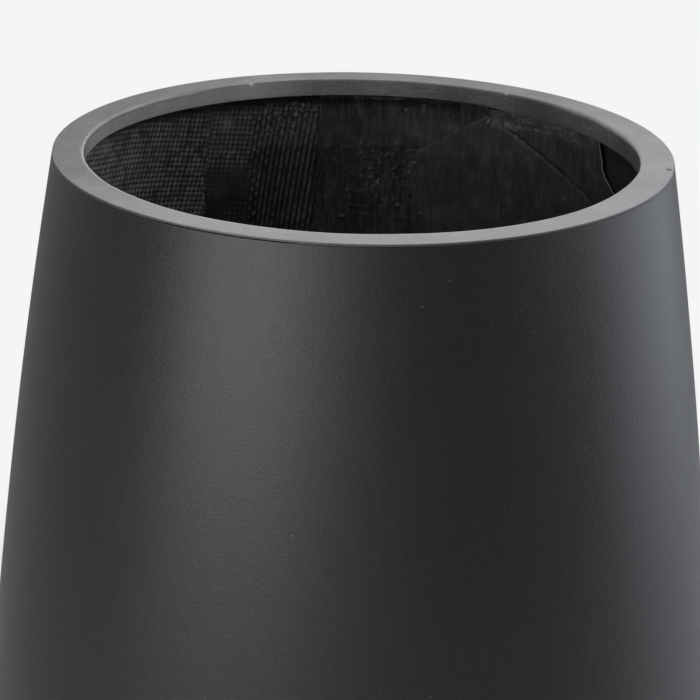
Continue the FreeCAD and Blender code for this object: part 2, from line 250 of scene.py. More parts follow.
def bumps(u, v, cell_u, cell_v, seed, circuit=0.0):
    """Smooth random heights from -1 to 1. Each corner of a lattice has a random number, and the
    four round a place are blended by the smooth step. With a circuit, u closes after that length."""
    u, v = np.broadcast_arrays(u, v)
    columns = max(3, round(circuit / cell_u)) if circuit else int(np.ptp(u) / cell_u) + 3
    step = circuit / columns if circuit else cell_u
    rows = int(np.ptp(v) / cell_v) + 3
    table = np.random.default_rng(seed).uniform(-1, 1, (columns, rows))
    across = (u if circuit else u - u.min()) / step
    down = (v - v.min()) / cell_v
    i, j = np.floor(across).astype(int), np.floor(down).astype(int)
    s, t = smooth_step(across - i, 0, 1), smooth_step(down - j, 0, 1)
    left, right = i % columns, (i + 1) % columns
    upper = table[left, j] * (1 - s) + table[right, j] * s
    lower = table[left, j + 1] * (1 - s) + table[right, j + 1] * s
    return upper * (1 - t) + lower * t


def drop_hump(u, v, centre, size):
    """A round hump, size times sqrt(1 - d^2) high at a distance of d times its size."""
    square = ((u - centre[0]) ** 2 + (v - centre[1]) ** 2) / size ** 2
    return size * np.sqrt(np.clip(1 - square, 0, 1))


TRIAL = bumps(np.linspace(0, 9, 50), np.linspace(0, 5, 50), 1, 1, 1)
print(f"bumps run from {TRIAL.min():.2f} to {TRIAL.max():.2f}")

# %% [markdown]
# ## Materials: one helper, one colour function
# Colours are written as on a screen, as sRGB hex, and one function turns them to the linear numbers
# that a shader wants. One function adds a node with its settings and links.

# %% Helpers for materials


def linear(hex_colour):
    """Linear RGBA of an sRGB hex colour: c / 12.92 in the dark, else ((c + 0.055) / 1.055)^2.4."""
    parts = [int(hex_colour[k:k + 2], 16) / 255 for k in (1, 3, 5)]
    return [c / 12.92 if c <= 0.04045 else ((c + 0.055) / 1.055) ** 2.4 for c in parts] + [1.0]


def add_node(tree, kind, inputs=None, **settings):
    """Adds a node with its settings. An input is a value, or the output socket that feeds it."""
    node = tree.nodes.new(kind)
    for name, value in settings.items():
        setattr(node, name, value)
    for key, value in (inputs or {}).items():
        if isinstance(value, bpy.types.NodeSocket):
            tree.links.new(value, node.inputs[key])
        else:
            node.inputs[key].default_value = value
    return node


def new_material(name):
    """An empty node material: its tree, and its output node."""
    material = bpy.data.materials.new(name)
    material.use_nodes = True
    material.node_tree.nodes.clear()
    output = add_node(material.node_tree, "ShaderNodeOutputMaterial")
    return material, material.node_tree, output


def per_mm(size):
    """Scale of a texture whose features repeat after a size in millimetres."""
    return 1 / (size * MM)


print("mid grey #808080 is", round(linear("#808080")[0], 3), "in linear light")

# %% [markdown]
# ## The face coat's finish
# The outside is a mineral-filled polyester coat, brushed into the mould in black, then sanded and
# sealed matte. To the eye that is a soft charcoal, a little cloudy, with faint upright streaks from
# the mould, fine grain and specks of filler. Noise on Object coordinates gives these, and upright
# streaks come from a noise whose scale is much smaller along Z. A few marks are one of a kind, so
# they are listed by place: ragged scuffs below the rim, two porous spots and a row of open pinholes.

# %% Face coat: places of its marks
# Scuff marks and porous spots: centre and radius in millimetres
SCUFFS = [
    ((-49, -201, 851), 3.2), ((-38, -204, 850), 4.4), ((-49, -203, 842), 3.4),
    ((-44, -206, 834), 3.0), ((-30, -207, 836), 3.2),
]
POROUS = [((-99, -198, 755), 8), ((-94, -203, 735), 8)]
# Open pinholes: centres in millimetres
PINHOLES = [
    (54, -198, 864), (66, -195, 860), (78, -193, 851), (75, -194, 848), (72, -196, 844),
    (88, -188, 854), (96, -184, 855), (101, -181, 856), (106, -177, 856), (115, -172, 856),
]
PINHOLE_RADIUS = 0.45
print(f"{len(SCUFFS)} scuffs, {len(POROUS)} porous spots, {len(PINHOLES)} pinholes")

# %% Face coat: scuffs


def near(tree, place, centre, reach, blur):
    """1 within a reach of a centre and 0 beyond reach + blur, all in millimetres."""
    away = add_node(tree, "ShaderNodeVectorMath", {
        0: place, 1: [c * MM for c in centre]}, operation="DISTANCE")
    return add_node(tree, "ShaderNodeMapRange", {
        "Value": away.outputs["Value"], "From Min": (reach + blur) * MM, "From Max": reach * MM},
        interpolation_type="SMOOTHSTEP").outputs[0]


def scuff_mask(tree, place):
    """Ragged rings where the coat was scuffed: a disc less a smaller one beside it, the largest of
    them all, times noise that breaks them up."""
    ragged = add_node(tree, "ShaderNodeTexNoise", {
        "Vector": place, "Scale": per_mm(3.5), "Detail": 2.0})
    scuff = 0.0
    for centre, radius in SCUFFS:
        ring = near(tree, place, centre, radius, 1.6)
        hole = near(tree, place, [c + 0.6 for c in centre], 0.55 * radius, 1.2)
        ring = add_node(tree, "ShaderNodeMath", {
            0: ring, 1: hole}, operation="SUBTRACT", use_clamp=True)
        scuff = add_node(tree, "ShaderNodeMath", {
            0: ring.outputs[0], 1: scuff}, operation="MAXIMUM").outputs[0]
    broken = add_node(tree, "ShaderNodeMapRange", {
        "Value": ragged.outputs[0], "From Min": 0.42, "From Max": 0.58, "To Max": 0.6})
    return add_node(tree, "ShaderNodeMath", {
        0: scuff, 1: broken.outputs[0]}, operation="MULTIPLY").outputs[0]


print("scuffs cover", round(math.pi * sum(radius ** 2 for _, radius in SCUFFS)), "square mm")

# %% Face coat: pores


def pore_mask(tree, place):
    """1 in an open pore: the middles of cells of 2.6 mm, larger in the porous spots, and the listed
    pinholes."""
    pores = add_node(tree, "ShaderNodeTexVoronoi", {"Vector": place, "Scale": per_mm(2.6)})
    porous = 0.0
    for centre, radius in POROUS:
        spot = near(tree, place, centre, radius, 0.6 * radius)
        porous = add_node(tree, "ShaderNodeMath", {
            0: spot, 1: porous}, operation="MAXIMUM").outputs[0]
    reach = add_node(tree, "ShaderNodeMapRange", {
        "Value": porous, "To Min": 0.03, "To Max": 0.24})
    pore = add_node(tree, "ShaderNodeMath", {
        0: pores.outputs["Distance"], 1: reach.outputs[0]}, operation="LESS_THAN")
    for centre in PINHOLES:
        hole = near(tree, place, centre, PINHOLE_RADIUS, PINHOLE_RADIUS)
        pore = add_node(tree, "ShaderNodeMath", {
            0: pore.outputs[0], 1: hole}, operation="MAXIMUM")
    return pore.outputs[0]


print(f"pinholes are {2 * PINHOLE_RADIUS} mm across")

# %% Face coat material


def face_coat_material():
    """Charcoal, sanded: colour from clouds, streaks and grain, with scuffs, open pores painted dark
    as shade, and specks.
    """
    material, tree, output = new_material("polyester face coat, sanded matte")
    place = add_node(tree, "ShaderNodeTexCoord").outputs["Object"]
    upright = add_node(tree, "ShaderNodeMapping", {"Vector": place, "Scale": (1, 1, 0.06)})
    clouds = add_node(tree, "ShaderNodeTexNoise", {
        "Vector": place, "Scale": per_mm(90), "Detail": 3.0, "Roughness": 0.55})
    streaks = add_node(tree, "ShaderNodeTexNoise", {
        "Vector": upright.outputs[0], "Scale": per_mm(4.5), "Detail": 4.0, "Roughness": 0.6})
    grain = add_node(tree, "ShaderNodeTexNoise", {
        "Vector": place, "Scale": per_mm(1.9), "Detail": 3.0, "Roughness": 0.75})
    tone = add_node(tree, "ShaderNodeMath", {
        0: clouds.outputs[0], 1: 0.5, 2: -1.02}, operation="MULTIPLY_ADD")
    for part, share in ((streaks, 0.35), (grain, 2.2)):
        tone = add_node(tree, "ShaderNodeMath", {
            0: part.outputs[0], 1: share, 2: tone.outputs[0]}, operation="MULTIPLY_ADD")
    colour = add_node(tree, "ShaderNodeMix", {
        0: tone.outputs[0], 6: linear("#1b1b1b"), 7: linear("#303030")}, data_type="RGBA")

    pore = pore_mask(tree, place)
    scuffed = add_node(tree, "ShaderNodeMix", {
        0: scuff_mask(tree, place), 6: colour.outputs[2], 7: linear("#0c0c0c")}, data_type="RGBA")
    specks = add_node(tree, "ShaderNodeTexVoronoi", {"Vector": place, "Scale": per_mm(22)})
    speck = add_node(tree, "ShaderNodeMath", {
        0: specks.outputs["Distance"], 1: 0.03}, operation="LESS_THAN")
    # open pores painted near black: painted shade in the recesses
    with_painted_pore_shade = add_node(tree, "ShaderNodeMix", {
        0: pore, 6: scuffed.outputs[2], 7: linear("#0a0a0a")}, data_type="RGBA")
    with_specks = add_node(tree, "ShaderNodeMix", {
        0: speck.outputs[0], 6: with_painted_pore_shade.outputs[2], 7: linear("#5a5a5a")}, data_type="RGBA")

    rough = add_node(tree, "ShaderNodeMapRange", {
        "Value": streaks.outputs[0], "From Min": 0.3, "From Max": 0.7,
        "To Min": 0.365, "To Max": 0.395})
    relief = add_node(tree, "ShaderNodeMath", {
        0: pore, 1: -4.0, 2: grain.outputs[0]}, operation="MULTIPLY_ADD")
    bump = add_node(tree, "ShaderNodeBump", {
        "Height": relief.outputs[0], "Strength": 1.0, "Distance": 0.17 * MM})
    shader = add_node(tree, "ShaderNodeBsdfPrincipled", {
        "Base Color": with_specks.outputs[2], "Roughness": rough.outputs[0], "IOR": 1.5,
        "Normal": bump.outputs[0]})
    tree.links.new(shader.outputs[0], output.inputs[0])
    return material


FACE_COAT = face_coat_material()
print(f"{FACE_COAT.name}: {len(FACE_COAT.node_tree.nodes)} nodes")

# %% [markdown]
# ## The rim's finish
# The ring at the mouth is cast from the same filled resin and rubbed flat with abrasive paper, which
# leaves it paler and a little dusty. The scratches of the paper run round the ring. A vector of
# (R x / r, R y / r, r) gives noise that is long round the ring and short across it, with no seam.
# Three attributes of the mesh say how pale it is from place to place, with painted light and painted
# shade on the lip's inner face, where the pale filler shows in a chip or along a worn corner that
# also has a painted highlight, and where it is dark: painted shade in a pit and down the side of
# its edge.

# %% Rim material


def rim_material():
    """Paler charcoal, rubbed flat: sanding marks round the ring, cloudy dust and pale chips, with
    painted light and shade on the lip, a painted highlight along the worn corner, and painted shade
    in the pits and down the side.
    """
    material, tree, output = new_material("cast polyester rim, rubbed flat")
    place = add_node(tree, "ShaderNodeTexCoord").outputs["Object"]
    apart = add_node(tree, "ShaderNodeSeparateXYZ", {0: place})
    flat = add_node(tree, "ShaderNodeCombineXYZ", {0: apart.outputs[0], 1: apart.outputs[1]})
    radius = add_node(tree, "ShaderNodeVectorMath", {0: flat.outputs[0]}, operation="LENGTH")
    unit = add_node(tree, "ShaderNodeVectorMath", {0: flat.outputs[0]}, operation="NORMALIZE")
    circle = add_node(tree, "ShaderNodeVectorMath", {
        0: unit.outputs[0], "Scale": MOUTH_RADIUS * 0.05}, operation="SCALE")
    across = add_node(tree, "ShaderNodeMath", {
        0: radius.outputs["Value"], 1: apart.outputs[2]}, operation="ADD")
    lift = add_node(tree, "ShaderNodeCombineXYZ", {2: across.outputs[0]})
    along = add_node(tree, "ShaderNodeVectorMath", {
        0: circle.outputs[0], 1: lift.outputs[0]}, operation="ADD")
    scratches = add_node(tree, "ShaderNodeTexNoise", {
        "Vector": along.outputs[0], "Scale": per_mm(1.0), "Detail": 4.0, "Roughness": 0.65})
    clouds = add_node(tree, "ShaderNodeTexNoise", {
        "Vector": place, "Scale": per_mm(45), "Detail": 4.0, "Roughness": 0.6})
    grain = add_node(tree, "ShaderNodeTexNoise", {
        "Vector": place, "Scale": per_mm(1.1), "Detail": 2.0, "Roughness": 0.7})
    # tone of the ring; on the lip's inner face it is painted light and painted shade
    rubbed_tone_and_painted_light = add_node(tree, "ShaderNodeAttribute", attribute_name="rubbed_tone_and_painted_light")
    tone = add_node(tree, "ShaderNodeMath", {
        0: rubbed_tone_and_painted_light.outputs["Fac"], 1: 0.45, 2: -0.6}, operation="MULTIPLY_ADD")
    for part, share in ((clouds, 0.6), (scratches, 0.4), (grain, 0.7)):
        tone = add_node(tree, "ShaderNodeMath", {
            0: part.outputs[0], 1: share, 2: tone.outputs[0]}, operation="MULTIPLY_ADD")
    colour = add_node(tree, "ShaderNodeMix", {
        0: tone.outputs[0], 6: linear("#535354"), 7: linear("#bababb")}, data_type="RGBA")
    # chips show the pale filler; along the worn inner corner the paleness is also a painted
    # highlight
    chip_and_edge_highlight = add_node(tree, "ShaderNodeAttribute", attribute_name="chip_and_edge_highlight")
    chipped_and_highlit = add_node(tree, "ShaderNodeMix", {
        0: chip_and_edge_highlight.outputs["Fac"], 6: colour.outputs[2], 7: linear("#d6d6d4")}, data_type="RGBA")
    # painted shade in the pits and down the side of the ring's edge
    painted_pit_and_side_shade = add_node(tree, "ShaderNodeAttribute", attribute_name="painted_pit_and_side_shade")
    with_painted_shade = add_node(tree, "ShaderNodeMix", {
        0: painted_pit_and_side_shade.outputs["Fac"], 6: chipped_and_highlit.outputs[2], 7: linear("#2a2a2d")}, data_type="RGBA")
    relief = add_node(tree, "ShaderNodeMath", {
        0: scratches.outputs[0], 1: 0.6, 2: grain.outputs[0]}, operation="MULTIPLY_ADD")
    bump = add_node(tree, "ShaderNodeBump", {
        "Height": relief.outputs[0], "Strength": 0.5, "Distance": 0.06 * MM})
    shader = add_node(tree, "ShaderNodeBsdfPrincipled", {
        "Base Color": with_painted_shade.outputs[2], "Roughness": 0.5, "IOR": 1.5, "Normal": bump.outputs[0]})
    tree.links.new(shader.outputs[0], output.inputs[0])
    return material


RIM_CAST = rim_material()
print(f"{RIM_CAST.name}: {len(RIM_CAST.node_tree.nodes)} nodes")

# %% [markdown]
# ## Black laminating resin
# Inside, glass cloth lies in polyester resin that was tinted black and brushed on by hand. It is
# nearly black and has a soft gloss, duller where the brush dragged and where dust has settled. The
# cloth's relief is in the mesh for the first 130 mm below the rim. Further down, where threads are
# too fine for the mesh, the same weave goes on as a bump: the product of a sine across the columns
# of threads and a sine across the rows makes the grid of knots.

# %% Resin: the fine weave
THREAD = 3.7 * MM


def woven_height(tree):
    """Height of the fine weave: |sin(pi u)| |sin(pi v)| at the place u, v counted in threads, times
    the share that the mesh's attribute knots asks for."""
    threads = add_node(tree, "ShaderNodeUVMap", uv_map="threads")
    parts = add_node(tree, "ShaderNodeSeparateXYZ", {0: threads.outputs[0]})
    height = add_node(tree, "ShaderNodeAttribute", attribute_name="knots").outputs["Fac"]
    for k in range(2):
        turn = add_node(tree, "ShaderNodeMath", {
            0: parts.outputs[k], 1: math.pi}, operation="MULTIPLY")
        wave = add_node(tree, "ShaderNodeMath", {0: turn.outputs[0]}, operation="SINE")
        ridge = add_node(tree, "ShaderNodeMath", {0: wave.outputs[0]}, operation="ABSOLUTE")
        height = add_node(tree, "ShaderNodeMath", {
            0: ridge.outputs[0], 1: height}, operation="MULTIPLY").outputs[0]
    return height


print(f"{GIRTH / THREAD:.0f} threads round the mouth")

# %% Resin material


def resin_material(name, dark, light, dust_and_highlight_colour, gloss):
    """Black resin with a brushed gloss, dark where the mesh marks pooled resin and painted shade,
    and pale where it has dust and painted highlights.
    """
    material, tree, output = new_material(name)
    place = add_node(tree, "ShaderNodeTexCoord").outputs["Object"]
    clouds = add_node(tree, "ShaderNodeTexNoise", {
        "Vector": place, "Scale": per_mm(25), "Detail": 4.0, "Roughness": 0.6})
    grain = add_node(tree, "ShaderNodeTexNoise", {
        "Vector": place, "Scale": per_mm(2.2), "Detail": 3.0, "Roughness": 0.6})
    colour = add_node(tree, "ShaderNodeMix", {
        0: clouds.outputs[0], 6: linear(dark), 7: linear(light)}, data_type="RGBA")
    # between the threads pooled resin and painted shade, and under the lip painted shade
    pooled_resin_and_shade = add_node(tree, "ShaderNodeAttribute", attribute_name="pooled_resin_and_shade")
    with_pooled_resin_and_shade = add_node(tree, "ShaderNodeMix", {
        0: pooled_resin_and_shade.outputs["Fac"], 6: colour.outputs[2], 7: linear("#0b0b0b")}, data_type="RGBA")
    # dust, and painted highlights on thread tops, drops and the loose edge
    dust_and_highlight = add_node(tree, "ShaderNodeAttribute", attribute_name="dust_and_highlight")
    dusty = add_node(tree, "ShaderNodeMix", {
        0: dust_and_highlight.outputs["Fac"], 6: with_pooled_resin_and_shade.outputs[2], 7: linear(dust_and_highlight_colour)}, data_type="RGBA")
    relief = add_node(tree, "ShaderNodeMath", {
        0: grain.outputs[0], 1: 0.25, 2: woven_height(tree)}, operation="MULTIPLY_ADD")
    bump = add_node(tree, "ShaderNodeBump", {
        "Height": relief.outputs[0], "Strength": 0.7, "Distance": 0.4 * MM})
    rough = add_node(tree, "ShaderNodeMapRange", {
        "Value": clouds.outputs[0], "From Min": 0.3, "From Max": 0.7,
        "To Min": gloss, "To Max": gloss + 0.2})
    dull = add_node(tree, "ShaderNodeMath", {
        0: dust_and_highlight.outputs["Fac"], 1: 0.4, 2: rough.outputs[0]}, operation="MULTIPLY_ADD",
        use_clamp=True)
    shader = add_node(tree, "ShaderNodeBsdfPrincipled", {
        "Base Color": dusty.outputs[2], "Roughness": dull.outputs[0], "IOR": 1.55,
        "Normal": bump.outputs[0]})
    tree.links.new(shader.outputs[0], output.inputs[0])
    return material


# %% Three resins
CLOTH_RESIN = resin_material(
    "woven glass in black resin, brushed", "#353231", "#4a4645", "#b0b0ae", 0.34)
LAMINATE_RESIN = resin_material(
    "glass mat in black resin, rolled", "#211f1e", "#302e2c", "#70706f", 0.4)
PUTTY = resin_material(
    "filled polyester putty, knifed on", "#232120", "#383634", "#777675", 0.45)
for resin in (CLOTH_RESIN, LAMINATE_RESIN, PUTTY):
    print(f"{resin.name}: {len(resin.node_tree.nodes)} nodes")

# %% [markdown]
# ## Rubber
# The plug and the pads are black moulded rubber: a dead matte black with a faint bloom, and a fine
# eggshell texture from the mould.

# %% Rubber material


def rubber_material():
    """Moulded black rubber: very rough, with a grey bloom in clouds."""
    material, tree, output = new_material("moulded black rubber")
    place = add_node(tree, "ShaderNodeTexCoord").outputs["Object"]
    bloom = add_node(tree, "ShaderNodeTexNoise", {
        "Vector": place, "Scale": per_mm(9), "Detail": 4.0})
    texture = add_node(tree, "ShaderNodeTexNoise", {
        "Vector": place, "Scale": per_mm(0.6), "Detail": 2.0})
    colour = add_node(tree, "ShaderNodeMix", {
        0: bloom.outputs[0], 6: linear("#151515"), 7: linear("#2c2c2d")}, data_type="RGBA")
    bump = add_node(tree, "ShaderNodeBump", {
        "Height": texture.outputs[0], "Strength": 0.4, "Distance": 0.05 * MM})
    shader = add_node(tree, "ShaderNodeBsdfPrincipled", {
        "Base Color": colour.outputs[2], "Roughness": 0.75, "IOR": 1.52, "Normal": bump.outputs[0]})
    tree.links.new(shader.outputs[0], output.inputs[0])
    return material


RUBBER = rubber_material()
print(f"{RUBBER.name}: {len(RUBBER.node_tree.nodes)} nodes")

# %% [markdown]
# ## Handing a piece over
# Every new piece gets its material and the body that it moves with, and the node of the imported
# model that it stands for is hidden.

# %% Finish of a piece


def finish_piece(piece, material, slot, body, *nodes):
    """Gives a piece its material and its body, and hides the nodes that it stands for. The slot is
    not used.
    """
    piece.data.materials.append(material)
    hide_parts(*nodes)
    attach(piece, body)


# %% [markdown]
# ## The outer skin
# The face coat is one shell, 2 mm thick: down the wall, round the foot, up into the recess under
# the floor and in to the drain hole. As its section is the same all round, it is turned: the outline
# is a list of arcs and straight runs, outside first and inside back, and each point goes round the
# axis. A mould is never quite round, so the wall gets waves of a tenth of a millimetre, which is
# what makes the light on it run a little unevenly.

# %% Outer skin: sizes and outline
SKIN = 2 * MM
PAD_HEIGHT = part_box("foot_pad_1")[1].z
FOOT_ROUND = 14 * MM
FOOT_INNER_RADIUS = 150 * MM
FOOT_INNER_ROUND = 6 * MM
FLOOR_UNDERSIDE_Z = PAD_HEIGHT + 15 * MM
DRAIN_RADIUS = 13 * MM
SKIN_TOP_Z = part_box("outer_skin")[1].z
SKIN_COLUMNS = 360
WALL_ROW = 6 * MM
ROWS_AT_EDGE = np.array([0.25, 0.5, 1, 2, 4]) * MM
WALL_WAVE = 0.12 * MM
EDGE_ROUND = 0.25 * MM


def arc_points(centre, radius, start, end, count):
    """Points of an arc in a section: centre + radius (cos a, sin a), a in degrees."""
    angles = np.radians(np.linspace(start, end, count))
    return np.stack([centre[0] + radius * np.cos(angles), centre[1] + radius * np.sin(angles)], -1)


def skin_outline(inset, wall_heights, dense):
    """Section of the skin's surface at an inset, from the wall's top to the drain hole: wall, round
    of the foot, underside, two rounds up into the recess and the flat in to the hole."""
    centre_z = PAD_HEIGHT + FOOT_ROUND
    reach = LOWER_ARC - FOOT_ROUND
    centre_r = LOWER_CENTRE[0] + math.sqrt(reach ** 2 - (centre_z - LOWER_CENTRE[1]) ** 2)
    angle = math.asin((centre_z - LOWER_CENTRE[1]) / reach)
    wall_end = LOWER_CENTRE[1] + (LOWER_ARC - inset) * math.sin(angle)
    heights = np.append(wall_heights[wall_heights > wall_end + 2 * MM], wall_end)
    lower = (FOOT_INNER_RADIUS + FOOT_INNER_ROUND, PAD_HEIGHT + FOOT_INNER_ROUND)
    upper = (FOOT_INNER_RADIUS - FOOT_INNER_ROUND, FLOOR_UNDERSIDE_Z - FOOT_INNER_ROUND)
    floor_z = FLOOR_UNDERSIDE_Z + inset
    foot_z = PAD_HEIGHT + inset
    return np.concatenate([
        np.stack([wall_radius(heights, inset), heights], -1),
        arc_points((centre_r, centre_z), FOOT_ROUND - inset, math.degrees(angle), -90, dense)[1:],
        np.linspace((centre_r, foot_z), (lower[0], foot_z), dense)[1:],
        arc_points(lower, FOOT_INNER_ROUND - inset, -90, -180, dense)[1:],
        arc_points(upper, FOOT_INNER_ROUND + inset, 0, 90, dense),
        np.linspace((upper[0], floor_z), (DRAIN_RADIUS, floor_z), 2 * dense)[1:],
    ])


print(f"face coat: {SKIN_TOP_Z - PAD_HEIGHT:.3f} m tall, {SKIN_COLUMNS} columns")

# %% Outer skin


def outer_skin():
    """The face coat: outer outline, then the inner one back, turned, with waves on the wall."""
    low_heights = np.arange(SKIN_TOP_Z - 2 * ROWS_AT_EDGE[-1], PAD_HEIGHT, -WALL_ROW)
    outside = skin_outline(0, np.append(SKIN_TOP_Z - ROWS_AT_EDGE, low_heights), 7)
    inside = skin_outline(SKIN, np.append(SKIN_TOP_Z, low_heights[1::4]), 4)
    edge = arc_points((outside[0, 0] - EDGE_ROUND, outside[0, 1]), EDGE_ROUND, 90, 20, 4)
    section = np.concatenate([edge, outside, inside[::-1]])
    bearings = np.arange(SKIN_COLUMNS) * 360 / SKIN_COLUMNS
    radius = np.repeat(section[:, :1], SKIN_COLUMNS, axis=1)
    height = np.repeat(section[:, 1:], SKIN_COLUMNS, axis=1)
    shown = np.arange(len(section))[:, None] < len(edge) + len(outside)
    on_wall = shown & (height > 30 * MM)
    path = way_round(bearings)[None, :]
    wave = bumps(path, height, 120 * MM, 160 * MM, 11, GIRTH)
    wave = wave + 0.4 * bumps(path, height, 45 * MM, 60 * MM, 12, GIRTH)
    radius = radius + np.where(on_wall, WALL_WAVE * (wave - 0.5), 0)
    return turned_piece("face_coat", radius, height, bearings)


finish_piece(outer_skin(), FACE_COAT, "face_coat", "planter", "outer_skin")

# %% [markdown]
# ## The rim ring
# A flat ring closes the wall at the mouth, and its lip turns down inside. It was cast apart and
# bonded on. The joint under its outer edge is filled, save for a short stretch at the front left,
# where it is open and shows as a fine dark line. Nothing about the ring is even: its inner corner
# is soft at the left and at the right and crisp elsewhere, notched at the back right, and worn pale
# from the left round to the front, with a painted highlight along that corner. Its top is paler at
# the front and darker at the left, and the lip's inner face has painted light at the back left and
# painted shade at the right. The lip reaches further in and down at the right. The section is
# therefore not constant. Its rounds and its lip are functions of the bearing, built from soft
# windows over named stretches of the ring.

# %% Rim ring: sizes
RIM_COLUMNS = 1440
LIP_WIDTH = 20 * MM
LIP_THICKNESS = 4.5 * MM
LIP_BOTTOM_Z = RIM_LOW.z
LIP_ROUND = 0.8 * MM
RING_UNDERSIDE_Z = HEIGHT - 4 * MM
RING_EDGE_Z = HEIGHT - 1.6 * MM
RING_OVERLAP = 2.4 * MM
OUTER_ROUND = 0.5 * MM
INNER_ROUND = 0.5 * MM
SOFT_ROUND = 2.2 * MM
RIM_BACK_R = MOUTH_RADIUS - LIP_WIDTH + LIP_THICKNESS
print(f"ring: {HEIGHT - LIP_BOTTOM_Z:.4f} m deep, a column every {GIRTH / RIM_COLUMNS / MM:.2f} mm")

# %% Rim ring: stretches, chips and pits
# Stretches of the ring: bearing of the middle, start and end beside it, and blur, all in degrees
STRETCHES = {
    "soft corner left": (-60, -20, 18, 8),
    "soft corner right": (72, -18, 24, 12),
    "eased outer edge": (60, -60, 45, 25),
    "notched": (38, -26, 26, 10),
    "lip reaches in": (92, -20, 22, 22),
    "lip reaches down": (62, -22, 22, 16),
    "open joint": (-155, -11, 9, 5),
    # the worn inner corner is pale from wear and from a painted highlight
    "edge wear and highlight": (-125, -62, 70, 25),
    # the top paler at the front and darker at the left; the lip's inner face painted light at the
    # back left and painted shade at the right
    "top paler at front": (150, -60, 50, 65),
    "top darker at left": (-75, -25, 25, 35),
    "lip painted light": (-50, -25, 20, 24),
    "lip painted shade": (60, -40, 60, 20),
}
# Chips: bearing, 1 for the inner edge or 0 for the outer one, size along the edge and depth in mm
RIM_CHIPS = [
    (-26, 1, 1.7, 0.8), (-121, 1, 1.8, 0.5), (-118.5, 1, 0.9, 0.35), (33, 1, 1.2, 0.25),
    (-164, 0, 0.8, 0.16), (-161, 0, 0.6, 0.12), (-158.5, 0, 0.8, 0.16), (-156, 0, 0.6, 0.12),
    (-152.5, 0, 0.8, 0.14), (-148.5, 0, 0.6, 0.1), (132, 0, 0.9, 0.2),
]
# Pits in the flat top: bearing, distance from the outer edge, size and depth in mm
RIM_PITS = [(98.6, 3.2, 1.5, 0.9), (-84, 18.6, 0.9, 0.5)]
CHIP_REACH = 1.6 * MM
CHIP_PALE = {1: 0.8, 0: 0.3}  # how pale a chip is at the inner and at the outer edge


def turn_between(bearings, other):
    """Signed turn from one bearing to others, from -180 to 180 degrees."""
    return (bearings - other + 180) % 360 - 180


def stretch(bearings, name):
    """1 along a named stretch of the ring and 0 away from it, as one row."""
    middle, start, end, blur = STRETCHES[name]
    return window(turn_between(bearings, middle), start, end, blur)[None, :]


def ripple(path, length, seed):
    """Bumps along the ring alone, from -1 to 1, which close after a full turn."""
    return bumps(path, 0 * path, length, 1, seed, GIRTH)


print(f"ring: {len(STRETCHES)} stretches, {len(RIM_CHIPS)} chips, {len(RIM_PITS)} pits")

# %% Rim ring: lip and underside


def ring_lip(bearings, path):
    """Radius of the mouth, wavy and notched, and height where the lip's lower round begins."""
    notches = 0.3 * MM * ripple(path, 1.6 * MM, 24) ** 2 * stretch(bearings, "notched")
    inner_r = MOUTH_RADIUS - LIP_WIDTH + 0.25 * MM * ripple(path, 60 * MM, 22)
    inner_r = inner_r + notches - 1.8 * MM * stretch(bearings, "lip reaches in")
    return inner_r, LIP_BOTTOM_Z + LIP_ROUND - 3 * MM * stretch(bearings, "lip reaches down")


def ring_underside(bearings, path):
    """The last three rows of the section, up the side of the ring's edge. The lowest one meets the
    face coat, and rises off it where the joint is open."""
    joint_open = stretch(bearings, "open joint")
    joint_open = np.maximum(joint_open, 0.05 * (1 + ripple(path, 30 * MM, 25)))
    under_z = SKIN_TOP_Z + 0.02 * MM + (RING_EDGE_Z - SKIN_TOP_Z) * np.clip(joint_open, 0, 1)
    edge_r = wall_radius(RING_EDGE_Z + 0.1 * MM) * np.ones((3, RIM_COLUMNS))
    edge_r[0] -= 0.3 * MM
    return edge_r, np.concatenate([under_z, under_z + 0.1 * MM, under_z + 0.25 * MM])


print(f"joint under the ring: {(RING_EDGE_Z - SKIN_TOP_Z) / MM:.1f} mm where it is open")

# %% Rim ring: section


